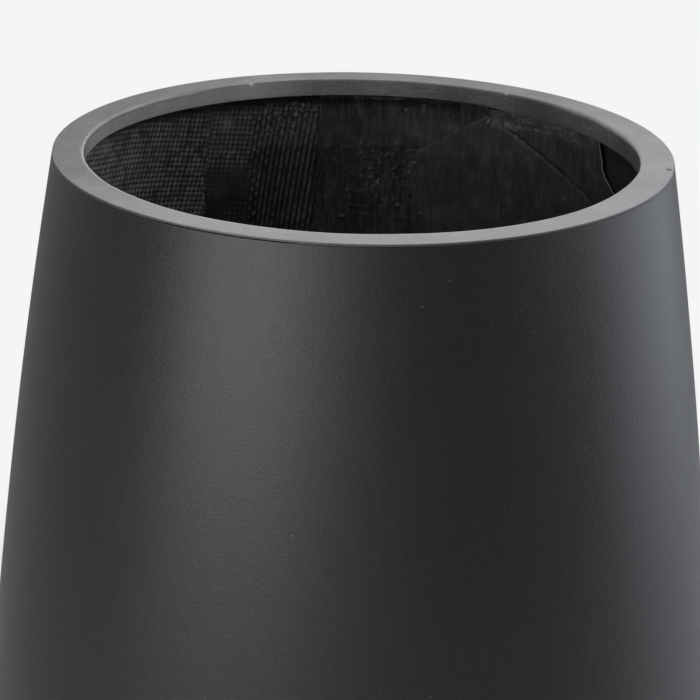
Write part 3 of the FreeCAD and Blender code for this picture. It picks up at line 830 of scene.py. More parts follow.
def ring_section(bearings, path):
    """Radius and height of the section, with a row for each point and a column for each bearing: a
    quarter round, the flat top, a quarter round, the lip, its lower round and back up behind. Also
    a column that is 1 on the top and its two rounds, and the radius of the mouth."""
    ones = np.ones((1, RIM_COLUMNS))
    soft = stretch(bearings, "soft corner left") + 0.8 * stretch(bearings, "soft corner right")
    inner_round = INNER_ROUND + (SOFT_ROUND - INNER_ROUND) * soft
    inner_round = inner_round * (1 + 0.25 * ripple(path, 25 * MM, 21))
    outer_round = OUTER_ROUND + 0.4 * MM * stretch(bearings, "eased outer edge")
    inner_r, lip_end_z = ring_lip(bearings, path)
    outer_r = wall_radius(HEIGHT - outer_round) - 0.05 * MM
    quarter = np.radians(np.linspace(0, 90, 7))[:, None]
    across = np.linspace(0, 1, 20)[1:-1, None]
    down = np.linspace(0, 1, 9)[1:, None]

    outer_arc = (outer_r - outer_round * (1 - np.cos(quarter)),
                 HEIGHT - outer_round * (1 - np.sin(quarter)))
    inner_arc = (inner_r + inner_round * (1 - np.sin(quarter)),
                 HEIGHT - inner_round * (1 - np.cos(quarter)))
    flat = (outer_arc[0][-1:] * (1 - across) + inner_arc[0][:1] * across,
            HEIGHT * ones * np.ones_like(across))
    lip = (inner_r * np.ones_like(down), inner_arc[1][-1:] * (1 - down) + lip_end_z * down)
    low_arc = (inner_r + LIP_ROUND * (1 - np.cos(quarter[1:])),
               lip_end_z - LIP_ROUND * np.sin(quarter[1:]))
    rabbet_r = wall_radius(RING_EDGE_Z) - RING_OVERLAP
    hidden = [(r * ones, z * ones) for r, z in (
        (RIM_BACK_R, LIP_BOTTOM_Z), (RIM_BACK_R, RING_UNDERSIDE_Z),
        (rabbet_r, RING_UNDERSIDE_Z), (rabbet_r, RING_EDGE_Z))]
    parts = [outer_arc, flat, inner_arc, lip, low_arc, *hidden, ring_underside(bearings, path)]
    radius, height = (np.concatenate([part[k] for part in parts]) for k in range(2))
    top = np.zeros((len(radius), 1))
    top[: len(outer_arc[0]) + len(flat[0]) + len(inner_arc[0])] = 1
    height = height - 0.12 * MM * top * (1 + bumps(path, radius, 50 * MM, 12 * MM, 23, GIRTH))
    return radius, height, top, inner_r


RIM_BEARINGS = np.arange(RIM_COLUMNS) * 360 / RIM_COLUMNS
RIM_PATH = way_round(RIM_BEARINGS)[None, :]
SECTION = ring_section(RIM_BEARINGS, RIM_PATH)
print(f"ring's section: {len(SECTION[0])} points, mouth from {SECTION[3].min():.4f} m of radius")

# %% [markdown]
# ### Wear on the ring
# A chip is a dent of the form depth times exp(-(distance / size)^2) in a corner of the section, and
# a pit is one in the flat top. How deep each dent is at a point also says how much of the pale
# filler, or of the painted shade of the pit, shows there. The side of the ring's edge is painted
# in shade too.

# %% Rim ring: wear


def ring_wear(bearings, path, radius, height, top, inner_r):
    """The section with its chips and pits cut in, and for each point how pale it is, from chips and
    a worn corner with a painted highlight, and how dark, from painted shade in pits and down the
    side.
    """
    pale, dark = np.zeros_like(radius), np.zeros_like(radius)
    for bearing, inner, size, depth in RIM_CHIPS:
        corner_r = MOUTH_RADIUS - LIP_WIDTH * inner
        along = np.radians(turn_between(bearings, bearing))[None, :] * corner_r
        away = np.hypot(radius - corner_r, height - HEIGHT)
        mark = dent(along, size * MM) * dent(away, CHIP_REACH)
        pale = np.maximum(pale, CHIP_PALE[inner] * smooth_step(mark, 0.25, 0.6))
        radius = radius + depth * MM * mark * (1 if inner else -1)
        height = height - 0.6 * depth * MM * mark
    for bearing, from_edge, size, depth in RIM_PITS:
        centre_r = MOUTH_RADIUS - from_edge * MM
        along = np.radians(turn_between(bearings, bearing))[None, :] * centre_r
        mark = dent(np.hypot(along, radius - centre_r), size * MM) * top
        dark = np.maximum(dark, smooth_step(mark, 0.3, 0.7))
        height = height - depth * MM * mark
    corner = dent(np.hypot(radius - inner_r, height - HEIGHT), 1.3 * MM)
    # the worn inner corner is painted paler: wear and a painted highlight
    worn_and_highlit = (0.75 + 0.25 * ripple(path, 9 * MM, 26)) * stretch(bearings, "edge wear and highlight")
    # the side of the ring's edge is painted dark: painted shade
    side = smooth_step(HEIGHT - height, 0.15 * MM, 0.5 * MM) * (radius > MOUTH_RADIUS - 5 * MM)
    return radius, height, np.maximum(pale, worn_and_highlit * corner), np.maximum(dark, 0.75 * side)


def ring_tone(bearings, top):
    """How pale each point is: on the top paler at the front and darker at the left, and inside the
    lip painted light at the back left and painted shade at the right.
    """
    on_top = 0.5 + 0.75 * stretch(bearings, "top paler at front")
    on_top = on_top - 0.33 * stretch(bearings, "top darker at left")
    # inside the lip: painted light at the back left, painted shade at the right
    on_lip = 0.85 * stretch(bearings, "lip painted light")
    on_lip = on_lip - 0.4 * stretch(bearings, "lip painted shade")
    return top * on_top + (1 - top) * on_lip


RING_R, RING_Z, RING_PALE, RING_DARK = ring_wear(RIM_BEARINGS, RIM_PATH, *SECTION)
RING_TONE = ring_tone(RIM_BEARINGS, SECTION[2])
print(f"worn pale {RING_PALE.mean():.0%}, dark {RING_DARK.mean():.0%} of the ring")

# %% Rim ring


def rim_ring():
    """The worn section turned about the axis, with its wear as attributes."""
    piece = turned_piece("rim_ring_cast", RING_R, RING_Z, RIM_BEARINGS)
    set_attribute(piece, "chip_and_edge_highlight", RING_PALE)
    set_attribute(piece, "painted_pit_and_side_shade", RING_DARK)
    set_attribute(piece, "rubbed_tone_and_painted_light", RING_TONE)
    return piece


finish_piece(rim_ring(), RIM_CAST, "rim_casting", "planter", "rim_ring")

# %% [markdown]
# ## Putty behind the lip
# The ring sits in filled resin that was knifed in behind the lip. From inside, its lower face shows
# as a rough, dark band in the shadow of the lip, with lumps and runs that hang over the cloth.

# %% Putty behind the lip
WALL = 5 * MM
CLOTH = 1 * MM
CLOTH_TOP_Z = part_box("rim_putty")[0].z
PUTTY_BOTTOM_Z = CLOTH_TOP_Z + 5 * MM
PUTTY_WIDTH = 12 * MM
PUTTY_COLUMNS = 720


def rim_putty():
    """A band between lip and wall, whose lower face is lumpy."""
    bearings = np.arange(PUTTY_COLUMNS) * 360 / PUTTY_COLUMNS
    path = way_round(bearings)[None, :]
    share = np.linspace(0, 1, 12)[:, None]
    low_r = wall_radius(CLOTH_TOP_Z, WALL) * (1 - share) + RIM_BACK_R * share + 0 * path
    low_z = CLOTH_TOP_Z * (1 - share) + PUTTY_BOTTOM_Z * share + 0 * path
    across = share * PUTTY_WIDTH
    lumps = bumps(path, across, 5 * MM, 4 * MM, 31, GIRTH)
    lumps = lumps + 0.6 * bumps(path, across, 1.8 * MM, 2 * MM, 32, GIRTH)
    low_z = low_z - 0.9 * MM * (lumps - 0.2) * np.sin(np.pi * share)
    upper = np.array([
        (RIM_BACK_R, RING_UNDERSIDE_Z),
        (wall_radius(RING_UNDERSIDE_Z, WALL), RING_UNDERSIDE_Z)])
    radius = np.concatenate([low_r, upper[:, :1] + 0 * path])
    height = np.concatenate([low_z, upper[:, 1:] + 0 * path])
    return turned_piece("putty_behind_lip", radius, height, bearings)


finish_piece(rim_putty(), PUTTY, "putty", "planter", "rim_putty")

# %% [markdown]
# ## Woven cloth
# The inside is lined with full-height strips of woven roving, a plain weave of flat glass tows,
# about 3.7 mm from thread to thread. Each strip laps over the next, so one vertical edge of every
# strip shows. The weave is real relief here. For every point of the grid, two sets of threads are
# laid over each other, and the higher of the two is the surface. Resin then fills it up to a level
# that changes from place to place, from a clear weave to a brushed skin that drowns it.

# %% Weave
RELIEF = 1.1 * MM
FINE_DEPTH = 130 * MM
TAB_TOP_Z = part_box("cloth_strip_back")[0].z
RESIN_SHARPNESS = 14.0
COARSE_ROW = 5 * MM


def plain_weave(u, v, upright=0.0):
    """Relief from 0 to 1 at places u and v counted in threads. A thread's section is
    sqrt(1 - x^2) for x across it, and along its length it rises over one thread and dips under the
    next as a cosine. The surface is the higher of the two sets of threads. With upright up to 1,
    the threads that run up stand higher and the others lie lower."""
    across_warp, across_weft = u % 1 * 2 - 1, v % 1 * 2 - 1
    over = np.where((np.floor(u) + np.floor(v)) % 2 == 0, 1.0, -1.0)
    dip = over * np.cos(np.pi * across_weft / 2) * (1 - 0.9 * upright)
    warp = 0.5 * np.sqrt(1 - across_warp ** 2) + 0.25 * dip
    weft = 0.5 * np.sqrt(1 - across_weft ** 2) - 0.25 * over * np.cos(np.pi * across_warp / 2)
    return np.maximum(warp + 0.12 * upright, weft - 0.35 * upright) + 0.25


def resin_over(weave, level):
    """The weave under resin: a soft maximum of the two, log(exp(k weave) + exp(k level)) / k."""
    k = RESIN_SHARPNESS
    return np.log(np.exp(k * weave) + np.exp(k * level)) / k


def thread_places(bearing, z, turn):
    """Places counted in threads, along the rows and down the columns of a weave that is turned."""
    path, depth = way_round(bearing), HEIGHT - z
    u = (path * math.cos(turn) + depth * math.sin(turn)) / THREAD
    v = (depth * math.cos(turn) - path * math.sin(turn)) / THREAD
    return u, v


KNOT, HOLLOW = plain_weave(0.5, 0.5), plain_weave(1.0, 1.0)
print(f"weave: {KNOT * RELIEF / MM:.2f} mm at a knot, {HOLLOW * RELIEF / MM:.2f} mm between threads")

# %% [markdown]
# ### Grids for cloth
# The photograph's part of a layer needs a fine grid, and the rest, deep inside, a coarse one. So the
# rows are close together for the first 130 mm and then far apart, where only the bump goes on.

# %% Grids for cloth


def grid_rows(top, bottom, fine, spacing):
    """Depths of a layer's rows: finely spaced for a stretch, then coarser to the bottom. Their
    number is one more than a multiple of the stride, as a slab needs."""
    length = top - bottom
    fine = min(fine, length)
    upper = np.arange(0, fine, spacing)
    lower = np.linspace(fine, length, max(2, int((length - fine) / COARSE_ROW) + 2))
    rows = np.concatenate([upper, lower])
    extra = (-(len(rows) - 1)) % STRIDE
    last = np.linspace(rows[-2], rows[-1], extra + 2)
    return np.concatenate([rows[:-2], last])


def grid_columns(left, right, spacing):
    """Shares from 0 to 1 for a layer's columns, one more than a multiple of the stride."""
    cells = STRIDE * max(2, round(way_round(right - left) / spacing / STRIDE))
    return np.linspace(0, 1, cells + 1)


ROWS = len(grid_rows(CLOTH_TOP_Z, TAB_TOP_Z, FINE_DEPTH, 1 * MM))
print(f"a strip of 60 degrees at 1 mm: {ROWS} rows, {len(grid_columns(0, 60, 1 * MM))} columns")

# %% A layer of cloth


def layer_piece(name, bearing, z, front, back, dust_and_highlight, pooled_resin_and_shade, knots, turn, node):
    """A slab of cloth from its grid of bearings and heights and the insets of its two faces. Its
    attributes and the places of its threads, as a UV map, are for the resin's material."""
    piece = slab_piece(
        name,
        around(wall_radius(z, 0) - front, bearing, z),
        around(wall_radius(z, 0) - back, bearing, z),
    )
    set_attribute(piece, "dust_and_highlight", dust_and_highlight)
    set_attribute(piece, "pooled_resin_and_shade", pooled_resin_and_shade)
    set_attribute(piece, "knots", knots)
    u, v = thread_places(bearing, z, turn)
    places = np.zeros((len(piece.data.vertices), 2), np.float32)
    places[: u.size] = np.stack([u.ravel(), v.ravel()], -1)
    corners = np.zeros(len(piece.data.loops), np.int32)
    piece.data.loops.foreach_get("vertex_index", corners)
    piece.data.uv_layers.new(name="threads").data.foreach_set("uv", places[corners].ravel())
    finish_piece(piece, CLOTH_RESIN, "woven_cloth", "planter", node)
    return piece


print("cloth gets the material", CLOTH_RESIN.name)

# %% [markdown]
# ## Marks of the hand
# Where the layers differ is in the marks that the work left on them: places where the brush piled
# the resin up in lumps, runs and blisters, pale dust, and thread tops that are paler, from wear and
# from a painted highlight. Each layer has a table of such marks. Bearings are in degrees, depths
# and radii in millimetres, and paleness goes from 0 to 1. The functions here turn a table into
# relief and into dust with painted highlights. It may hold
#
# - lumps, dusty: stretches of bearings and of depths, and the lumps' height in mm or the paleness
# - brushed, streaky: how strongly the brush's streaks show, as relief in mm and as paleness
# - smudges, drops_and_glints: bearing, depth, radius and paleness of each; a drop's paleness is
#   partly a painted glint
# - lines: bearing and depth of both ends, width and height in mm, and paleness
# - scatter: how many random drops, stretches of bearings, depths and radii, and paleness, which
#   is partly a painted glint
# - painted_lip_shade: how dark the cloth is painted right under the lip, as the lip's shade

# %% Marks: zones, lumps and drops


def zones(bearing, depth, entries, blur=2.0):
    """Sum of amounts, each inside a window of bearings and depths that is soft by a blur in
    degrees and four times as many millimetres."""
    total = 0 * bearing
    for (left, right), (high, low), amount in entries:
        inside = window(bearing, left, right, blur) * window(depth / MM, high, low, 4 * blur)
        total = total + amount * inside
    return total


def brush_lumps(path, depth, seed):
    """Ridges that a brush left: 1 - |bumps|, sharp along curved lines, in two sizes."""
    wide = 1 - np.abs(bumps(path, depth, 7 * MM, 6 * MM, seed))
    fine = 1 - np.abs(bumps(path, depth, 2.6 * MM, 2.4 * MM, seed + 1))
    return wide ** 3 + 0.5 * fine ** 3 - 0.5


def scattered(count, bearings, depths, sizes, paleness, seed):
    """Random drops in a window: bearing, depth, radius and paleness of each."""
    rng = np.random.default_rng(seed)
    places = rng.uniform(*bearings, count), rng.uniform(*depths, count), rng.uniform(*sizes, count)
    return [(*place, paleness) for place in zip(*places)]


def painted_lip_shade(depth, marks):
    """Painted shade of the lip on the cloth right under it, which fades out at a depth of 26 mm."""
    return marks.get("painted_lip_shade", 0) * (1 - smooth_step(depth, 18 * MM, 26 * MM))


print("grime half way out, at 22 mm:", painted_lip_shade(22 * MM, {"painted_lip_shade": 1}).round(2))

# %% Marks on a surface


def surface_marks(bearing, depth, marks, seed):
    """Relief in metres, and dust with painted glints from 0 to 1, for a layer's table of marks."""
    path = way_round(bearing)
    relief = MM * zones(bearing, depth, marks.get("lumps", ())) * brush_lumps(path, depth, seed)
    streaks = bumps(path, depth, 1.5 * MM, 12 * MM, seed + 2) + bumps(
        path, depth, 1.1 * MM, 3 * MM, seed + 5)
    relief = relief + MM * marks.get("brushed", 0.05) * streaks
    dust_and_highlight = zones(bearing, depth, marks.get("dusty", ())) + marks.get("streaky", 0.03) * streaks
    dust_and_highlight = dust_and_highlight * (1 + 0.5 * bumps(path, depth, 9 * MM, 7 * MM, seed + 3))
    for centre, deep, radius, amount in marks.get("smudges", ()):
        away = np.hypot(path - way_round(centre), depth - deep * MM)
        dust_and_highlight = dust_and_highlight + amount * dent(away, radius * MM)
    for (start, deep_start), (end, deep_end), width, height, paleness in marks.get("lines", ()):
        course = np.interp(bearing, (start, end), (deep_start * MM, deep_end * MM))
        course = course + 0.4 * MM * bumps(path, 0 * path, 3 * MM, 1, seed + 4)
        line = dent(depth - course, width * MM) * window(bearing, start, end, 0.6)
        relief = relief + height * MM * line
        dust_and_highlight = dust_and_highlight + paleness * line
    drops_and_glints = list(marks.get("drops_and_glints", ()))
    for k, scatter in enumerate(marks.get("scatter", ())):
        drops_and_glints += scattered(*scatter, seed + 10 + k)
    for centre, deep, radius, paleness in drops_and_glints:
        hump = drop_hump(path, depth, (way_round(centre), deep * MM), radius * MM)
        relief = relief + 0.8 * hump
        # a drop's pale top is partly a painted glint
        dust_and_highlight = dust_and_highlight + paleness * smooth_step(hump, 0.1 * radius * MM, 0.8 * radius * MM)
    return relief, np.clip(dust_and_highlight, 0, 1)


TRIAL = surface_marks(np.linspace(0, 3, 60), 0.05 + np.zeros(60), {"drops_and_glints": [(1, 50, 1.5, 1)]}, 1)
print(f"a drop of 1.5 mm stands {TRIAL[0].max() / MM:.2f} mm high")

# %% [markdown]
# ## The lining strips
# One function lays every strip. A strip has a left and a right bearing, lies on the laminate, and
# over the last four degrees climbs on to its neighbour. Its resin level says how deep the weave is
# drowned, from 0.3 for open cloth to 1 for none seen. In the strip at the back left the threads that
# run up stand out more than the level ones. The strip at the right back has a loose, dry edge that
# curls off the wall and looks pale, from the dry glass and from a painted highlight. Beside the
# patch's right-hand edge the resin stands in a low bank, which leaves a dark line. Besides marks, a
# strip's table may hold
#
# - span, turn, level, spacing: its bearings, the weave's turn in degrees, the resin's level and the
#   grid's spacing in mm
# - levels, upright: stretches of bearings and depths where the resin stands higher or lower, and
#   where the upright threads stand out
# - worn_and_highlit: how pale the tops of the threads are, from wear and from a painted highlight
# - dry_and_highlit_edge, bulge: stretch of depths along its right edge, with a paleness from dry
#   glass and a painted highlight, or how many degrees further the edge reaches
# - frayed, feather: how uneven that edge is, and over how many degrees it gets thin
# - loose: the edge curls off the wall

# %% Lining strips: tables of those that show
BUTT_JOINTED = "cloth_strip_back"
LAP = 4.0
JOG = 1.0
THINNEST_STRIP = 0.35 * MM
PATCH_CORNERS = [(9.8, 841.9 * MM), (25.9, 877.4 * MM), (50.3, 832.0 * MM)]
STRIPS = {
    "cloth_strip_left": {
        "span": (-93.0, -33.0), "turn": 9, "level": 0.3, "spacing": 0.85, "worn_and_highlit": 0.72,
        "dusty": [((-93, -30), (26, 130), 0.12), ((-80, -52), (24, 60), 0.05)], "painted_lip_shade": 0.7,
        "smudges": [(-62, 30, 5, 0.6), (-70, 44, 5, 0.2), (-55, 46, 4, 0.1)],
        "drops_and_glints": [(-50, 58, 1.1, 0.5), (-41, 92, 1.0, 0.3)],
        "dry_and_highlit_edge": ((60, 104), 0.08), "frayed": 0.45, "feather": 1.0,
    },
    "cloth_strip_back_left": {
        "span": (-37.0, -9.3), "turn": 6, "level": 0.74, "spacing": 0.85, "worn_and_highlit": 0.4, "painted_lip_shade": 0.7,
        "levels": [((-20, -8), (0, 130), -0.42), ((-37, -20), (0, 56), -0.34)],
        "upright": [((-20, -8), (40, 130), 1.0)],
        "dusty": [((-37, -10), (28, 50), 0.2), ((-37, -22), (56, 84), 0.1)],
        "smudges": [(-29, 35, 5, 0.75), (-27.6, 56, 1.4, 0.9)],
        "scatter": [(90, (-21, -10), (21, 46), (0.6, 1.1), 0.6),
                    (40, (-34, -22), (24, 60), (0.6, 1.0), 0.4)],
        "drops_and_glints": [(-10.1, 26, 1.3, 0.9), (-10.9, 31.4, 0.9, 0.9), (-9.9, 62, 1.0, 0.3)],
    },
    "cloth_strip_back": {
        "span": (-13.3, 20.0), "turn": 4, "level": 0.98, "spacing": 0.9,
        "brushed": 0.2, "streaky": 0.08,
        "dusty": [((9, 20), (28, 50), 0.16), ((-14, 20), (60, 130), 0.05)],
        "painted_lip_shade": 0.7, "feather": 0.1, "lines": [((9, 55.8), (14, 55.0), 0.6, -0.7, 0)],
        "lumps": [((-1, 13), (58, 106), 0.55), ((-9, -1), (58, 112), 0.15)],
        "scatter": [(12, (0.4, 3.4), (78, 88), (0.8, 1.2), 0.25),
                    (14, (-8, 12), (60, 112), (0.8, 1.3), 0),
                    (26, (-1, 12), (58, 75), (0.7, 1.1), 0.15)],
        "drops_and_glints": [(7.0, 100.3, 1.6, 0.25), (11.8, 105.3, 1.6, 0.2), (-3.8, 110.4, 1.6, 0.1),
                  (11.6, 96, 1.3, 0.1), (10.5, 66, 1.5, 0.1), (12.4, 22, 1.3, 0.4),
                  (12.5, 25, 1.2, 0.35), (12.5, 28, 0.9, 0.3)],
    },
    "cloth_strip_back_right": {
        "span": (20.0, 56.6), "turn": -3, "level": 0.9, "spacing": 0.9,
        "brushed": 0.14, "streaky": 0.06,
        "lumps": [((27, 53), (17, 29), 0.7), ((27, 55), (29, 60), 0.15)],
        "dusty": [((28, 53), (18, 27), 0.2), ((20, 56), (24, 90), 0.08)],
        "lines": [((36, 20), (52, 20.5), 0.8, 0.6, 0.35)],
        "scatter": [(60, (26, 54), (18, 29), (0.8, 1.4), 0.22),
                    (18, (26, 35), (25, 32), (0.8, 1.3), 0.3)],
        "drops_and_glints": [(46.8, 23.5, 1.4, 0.6), (50.5, 58, 1.2, 0.1)],
        "dry_and_highlit_edge": ((20, 62), 0.8), "loose": True, "bulge": ((62, 104), 3.4),
    },
    "cloth_strip_right": {
        "span": (51.7, 98.0), "turn": -5, "level": 0.8, "spacing": 1.0,
        "lumps": [((50, 99), (10, 130), 0.45)],
        "scatter": [(40, (55, 90), (18, 80), (0.5, 1.3), 0.05)],
    },
}
print(f"{len(STRIPS)} strips show in the photograph")

# %% Lining strips: tables of those out of sight
STRIPS.update({
    "cloth_strip_front_right": {
        "span": (94.0, 143.0), "turn": 3, "level": 0.6, "spacing": 1.3, "worn_and_highlit": 0.2,
    },
    "cloth_strip_front": {"span": (139.0, 187.0), "turn": -4, "level": 0.5, "spacing": 1.3},
    "cloth_strip_front_left": {"span": (183.0, 230.0), "turn": 6, "level": 0.65, "spacing": 1.3},
    "cloth_strip_far_left": {
        "span": (226.0, 271.0), "turn": 2, "level": 0.5, "spacing": 1.3, "worn_and_highlit": 0.2,
    },
})
SPANS = [right - left for left, right in (marks["span"] for marks in STRIPS.values())]
print(f"{len(STRIPS)} strips, {sum(SPANS):.0f} degrees with their laps")

# %% Lining strips: bank and curl


def resin_bank(bearing, depth):
    """Relief of the resin beside the patch's right-hand edge: a bank 1 mm high that drops steeply
    towards the edge and fades out away from it."""
    corners = [b for b, _ in PATCH_CORNERS], [HEIGHT - z for _, z in PATCH_CORNERS]
    above = np.interp(bearing, *corners) - depth
    beside = window(bearing, PATCH_CORNERS[1][0] + 1, PATCH_CORNERS[2][0], 1)
    rise = smooth_step(above, 0.5 * MM, 1.3 * MM)
    return 1 * MM * beside * rise * (1 - smooth_step(above, 2.5 * MM, 11 * MM))


def curl(marks, bearing, depth, edge):
    """How far a loose edge curls off the wall: most at the edge, nothing 2.5 degrees inside it."""
    if "loose" not in marks:
        return 0 * bearing
    return 4 * MM * smooth_step(bearing, edge - 2.5, edge) ** 2 * window(depth / MM, 20, 50, 16)


PEAK = resin_bank(np.full(99, 40.0), np.linspace(0, 0.06, 99)).max()
print(f"bank of resin: {PEAK / MM:.1f} mm high")

# %% Lining strips: grid and surface


def strip_grid(node, marks, seed):
    """Bearings and heights of a strip's points, the depths of its rows below its top, and its right
    edge, which is frayed in two sizes and may bulge. Its top is ragged too."""
    left, right = marks["span"]
    spacing = marks["spacing"] * MM
    share = grid_columns(left, right, spacing)[None, :]
    depths = grid_rows(CLOTH_TOP_Z, TAB_TOP_Z, FINE_DEPTH, spacing)[:, None]
    edge = right + 0 * depths
    if node != BUTT_JOINTED:
        frayed = marks.get("frayed", 0.25)
        edge = edge + frayed * bumps(0 * depths, depths, 1, 9 * MM, seed)
        edge = edge + 0.6 * frayed * bumps(0 * depths, depths, 1, 2.5 * MM, seed + 8)
    if "bulge" in marks:
        (high, low), reach = marks["bulge"]
        edge = edge + reach * window((depths + HEIGHT - CLOTH_TOP_Z) / MM, high, low, 22)
    bearing = left + (edge - left) * share
    path = way_round(bearing)
    ragged = 1.5 * MM * bumps(path, 0 * path, 6 * MM, 1, seed) - 1 * MM
    z = CLOTH_TOP_Z - depths + ragged * (1 - smooth_step(depths, 0, 40 * MM))
    return bearing, z, depths, edge


def strip_surface(bearing, z, shown, marks, seed):
    """Relief of a strip's weave under its resin, its dust with painted highlights, the dark of
    pooled resin and painted shade between its threads and under the lip, and the level of its resin.
    The threads run a little crooked."""
    path, depth = way_round(bearing), HEIGHT - z
    u, v = thread_places(bearing, z, math.radians(marks["turn"]))
    u = u + 0.35 * bumps(path, depth, 40 * MM, 50 * MM, seed + 2)
    v = v + 0.35 * bumps(path, depth, 50 * MM, 40 * MM, seed + 3)
    level = marks["level"] + zones(bearing, depth, marks.get("levels", ()), 5)
    level = level + 0.08 * bumps(path, depth, 18 * MM, 22 * MM, seed + 4)
    level = level + 0.05 * bumps(path, depth, 6 * MM, 7 * MM, seed + 5)
    threads = plain_weave(u, v, zones(bearing, depth, marks.get("upright", ()), 5))
    relief, dust_and_highlight = surface_marks(bearing, depth, marks, seed + 6)
    relief = relief + RELIEF * (resin_over(threads, level) - 0.65) + resin_bank(bearing, depth)
    rough_top = 1 - smooth_step(depth, 18 * MM, 30 * MM)
    relief = relief + 0.25 * MM * bumps(path, depth, 3 * MM, 3 * MM, seed + 7) * rough_top

    open_cloth = 1 - smooth_step(level, 0.5, 0.8)
    # between the threads: pooled resin and painted shade; under the lip: painted shade
    pooled_resin_and_shade = 0.95 * (1 - smooth_step(threads, 0.5, 0.85)) * open_cloth * shown
    pooled_resin_and_shade = np.maximum(pooled_resin_and_shade, painted_lip_shade(depth, marks))
    # tops of the knots painted paler: wear and a painted highlight, left out in the lip's shade
    knot = smooth_step(threads, 0.72, 0.97) * open_cloth * smooth_step(depth, 18 * MM, 27 * MM)
    uneven = 0.95 + 0.9 * bumps(path, depth, 3.5 * MM, 3.5 * MM, seed + 9)
    dust_and_highlight = dust_and_highlight * (1 - 0.85 * pooled_resin_and_shade) + marks.get("worn_and_highlit", 0.1) * uneven * knot
    return relief, dust_and_highlight, pooled_resin_and_shade, level


for node, marks in STRIPS.items():
    print(node, "has a grid of {} by {}".format(*strip_grid(node, marks, 0)[0].shape))

# %% Lining strips


def lining_strip(node, marks):
    """One strip: woven relief under resin, a climb on to its neighbour and a frayed right edge."""
    seed = sum(map(ord, node))
    bearing, z, depths, edge = strip_grid(node, marks, seed)
    shown = 1 - smooth_step(depths, FINE_DEPTH - 20 * MM, FINE_DEPTH)
    relief, dust_and_highlight, pooled_resin_and_shade, level = strip_surface(bearing, z, shown, marks, seed)
    from_edge = edge - bearing
    # the right edge painted paler: dry glass and a painted highlight
    if "dry_and_highlit_edge" in marks:
        (high, low), amount = marks["dry_and_highlit_edge"]
        along = window((HEIGHT - z) / MM, high, low, 6)
        dust_and_highlight = dust_and_highlight + amount * (1 - smooth_step(from_edge, 0.1, 0.45)) * along

    body_end = marks["span"][1] - LAP
    climb_front = climb_back = 0
    if node != BUTT_JOINTED:
        climb_front = smooth_step(bearing, body_end - 1.5 * JOG, body_end - 0.5 * JOG)
        climb_back = smooth_step(bearing, body_end - JOG, body_end)
    lift = curl(marks, bearing, HEIGHT - z, edge)
    inside = smooth_step(from_edge, 0, marks.get("feather", 0.5))
    thick = CLOTH * (0.5 + 0.5 * inside) + shown * relief * inside
    front = WALL + CLOTH * climb_front + np.maximum(thick, THINNEST_STRIP) + lift
    back = WALL + CLOTH * climb_back + 0 * bearing + lift
    knots = np.clip(1.1 - level, 0, 1) * (1 - shown) + 0 * bearing
    name = node.replace("cloth_strip", "woven_strip")
    turn = math.radians(marks["turn"])
    layer_piece(name, bearing, z, front, back, np.clip(dust_and_highlight, 0, 1), pooled_resin_and_shade, knots, turn, node)


for node, marks in STRIPS.items():
    lining_strip(node, marks)

# %% [markdown]
# ## The pointed patch and the band
# At the back a patch with two slanting edges covers a butt joint between two strips, and beside it a
# short band lies under the rim. Both are drowned in resin, so they show as smooth sheets with a soft
# step along their edges. The patch's top edge is a function of the bearing: straight from its left
# corner up to the point, and straight down again to its right corner.

# %% Patch and band: tables
PATCH_BOTTOM_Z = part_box("pointed_patch")[0].z
PATCH_SPACING = 0.9 * MM
PATCH_MARKS = {
    "scatter": [(16, (23, 31), (24, 34), (0.4, 0.9), 0.2)],
    "drops_and_glints": [(43.9, 74.7, 1.3, 0.35)], "brushed": 0.06, "streaky": 0.05,
    "dusty": [((8, 52), (26, 300), 0.09), ((8, 52), (26, 56), 0.05)],
}
BAND_BEARINGS = (-9.3, 9.6)
BAND_BOTTOM_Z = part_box("rim_band")[0].z
BAND_SPACING = 0.8 * MM
BAND_MARKS = {
    "lumps": [((-2, 10), (18, 56), 0.3), ((-9, -2), (18, 56), 0.1)],
    "painted_lip_shade": 0.7, "brushed": 0.2, "streaky": 0.08, "torn": 4.0,
    "scatter": [(14, (-2, 8), (22, 32), (0.4, 0.8), 0.3)],
    "dusty": [((-10, 10), (28, 60), 0.14)],
    "drops_and_glints": [(8.6, 25.4, 1.2, 0.7), (9.2, 29.1, 1.1, 0.6), (-1.3, 25.3, 0.8, 0.4)],
}
THINNEST_PATCH = 0.15 * MM
BAND_WIDTH = way_round(np.ptp(BAND_BEARINGS))
print(f"band: {BAND_WIDTH:.3f} m wide, {CLOTH_TOP_Z - BAND_BOTTOM_Z:.3f} m high")


# %% Layers on top of the strips


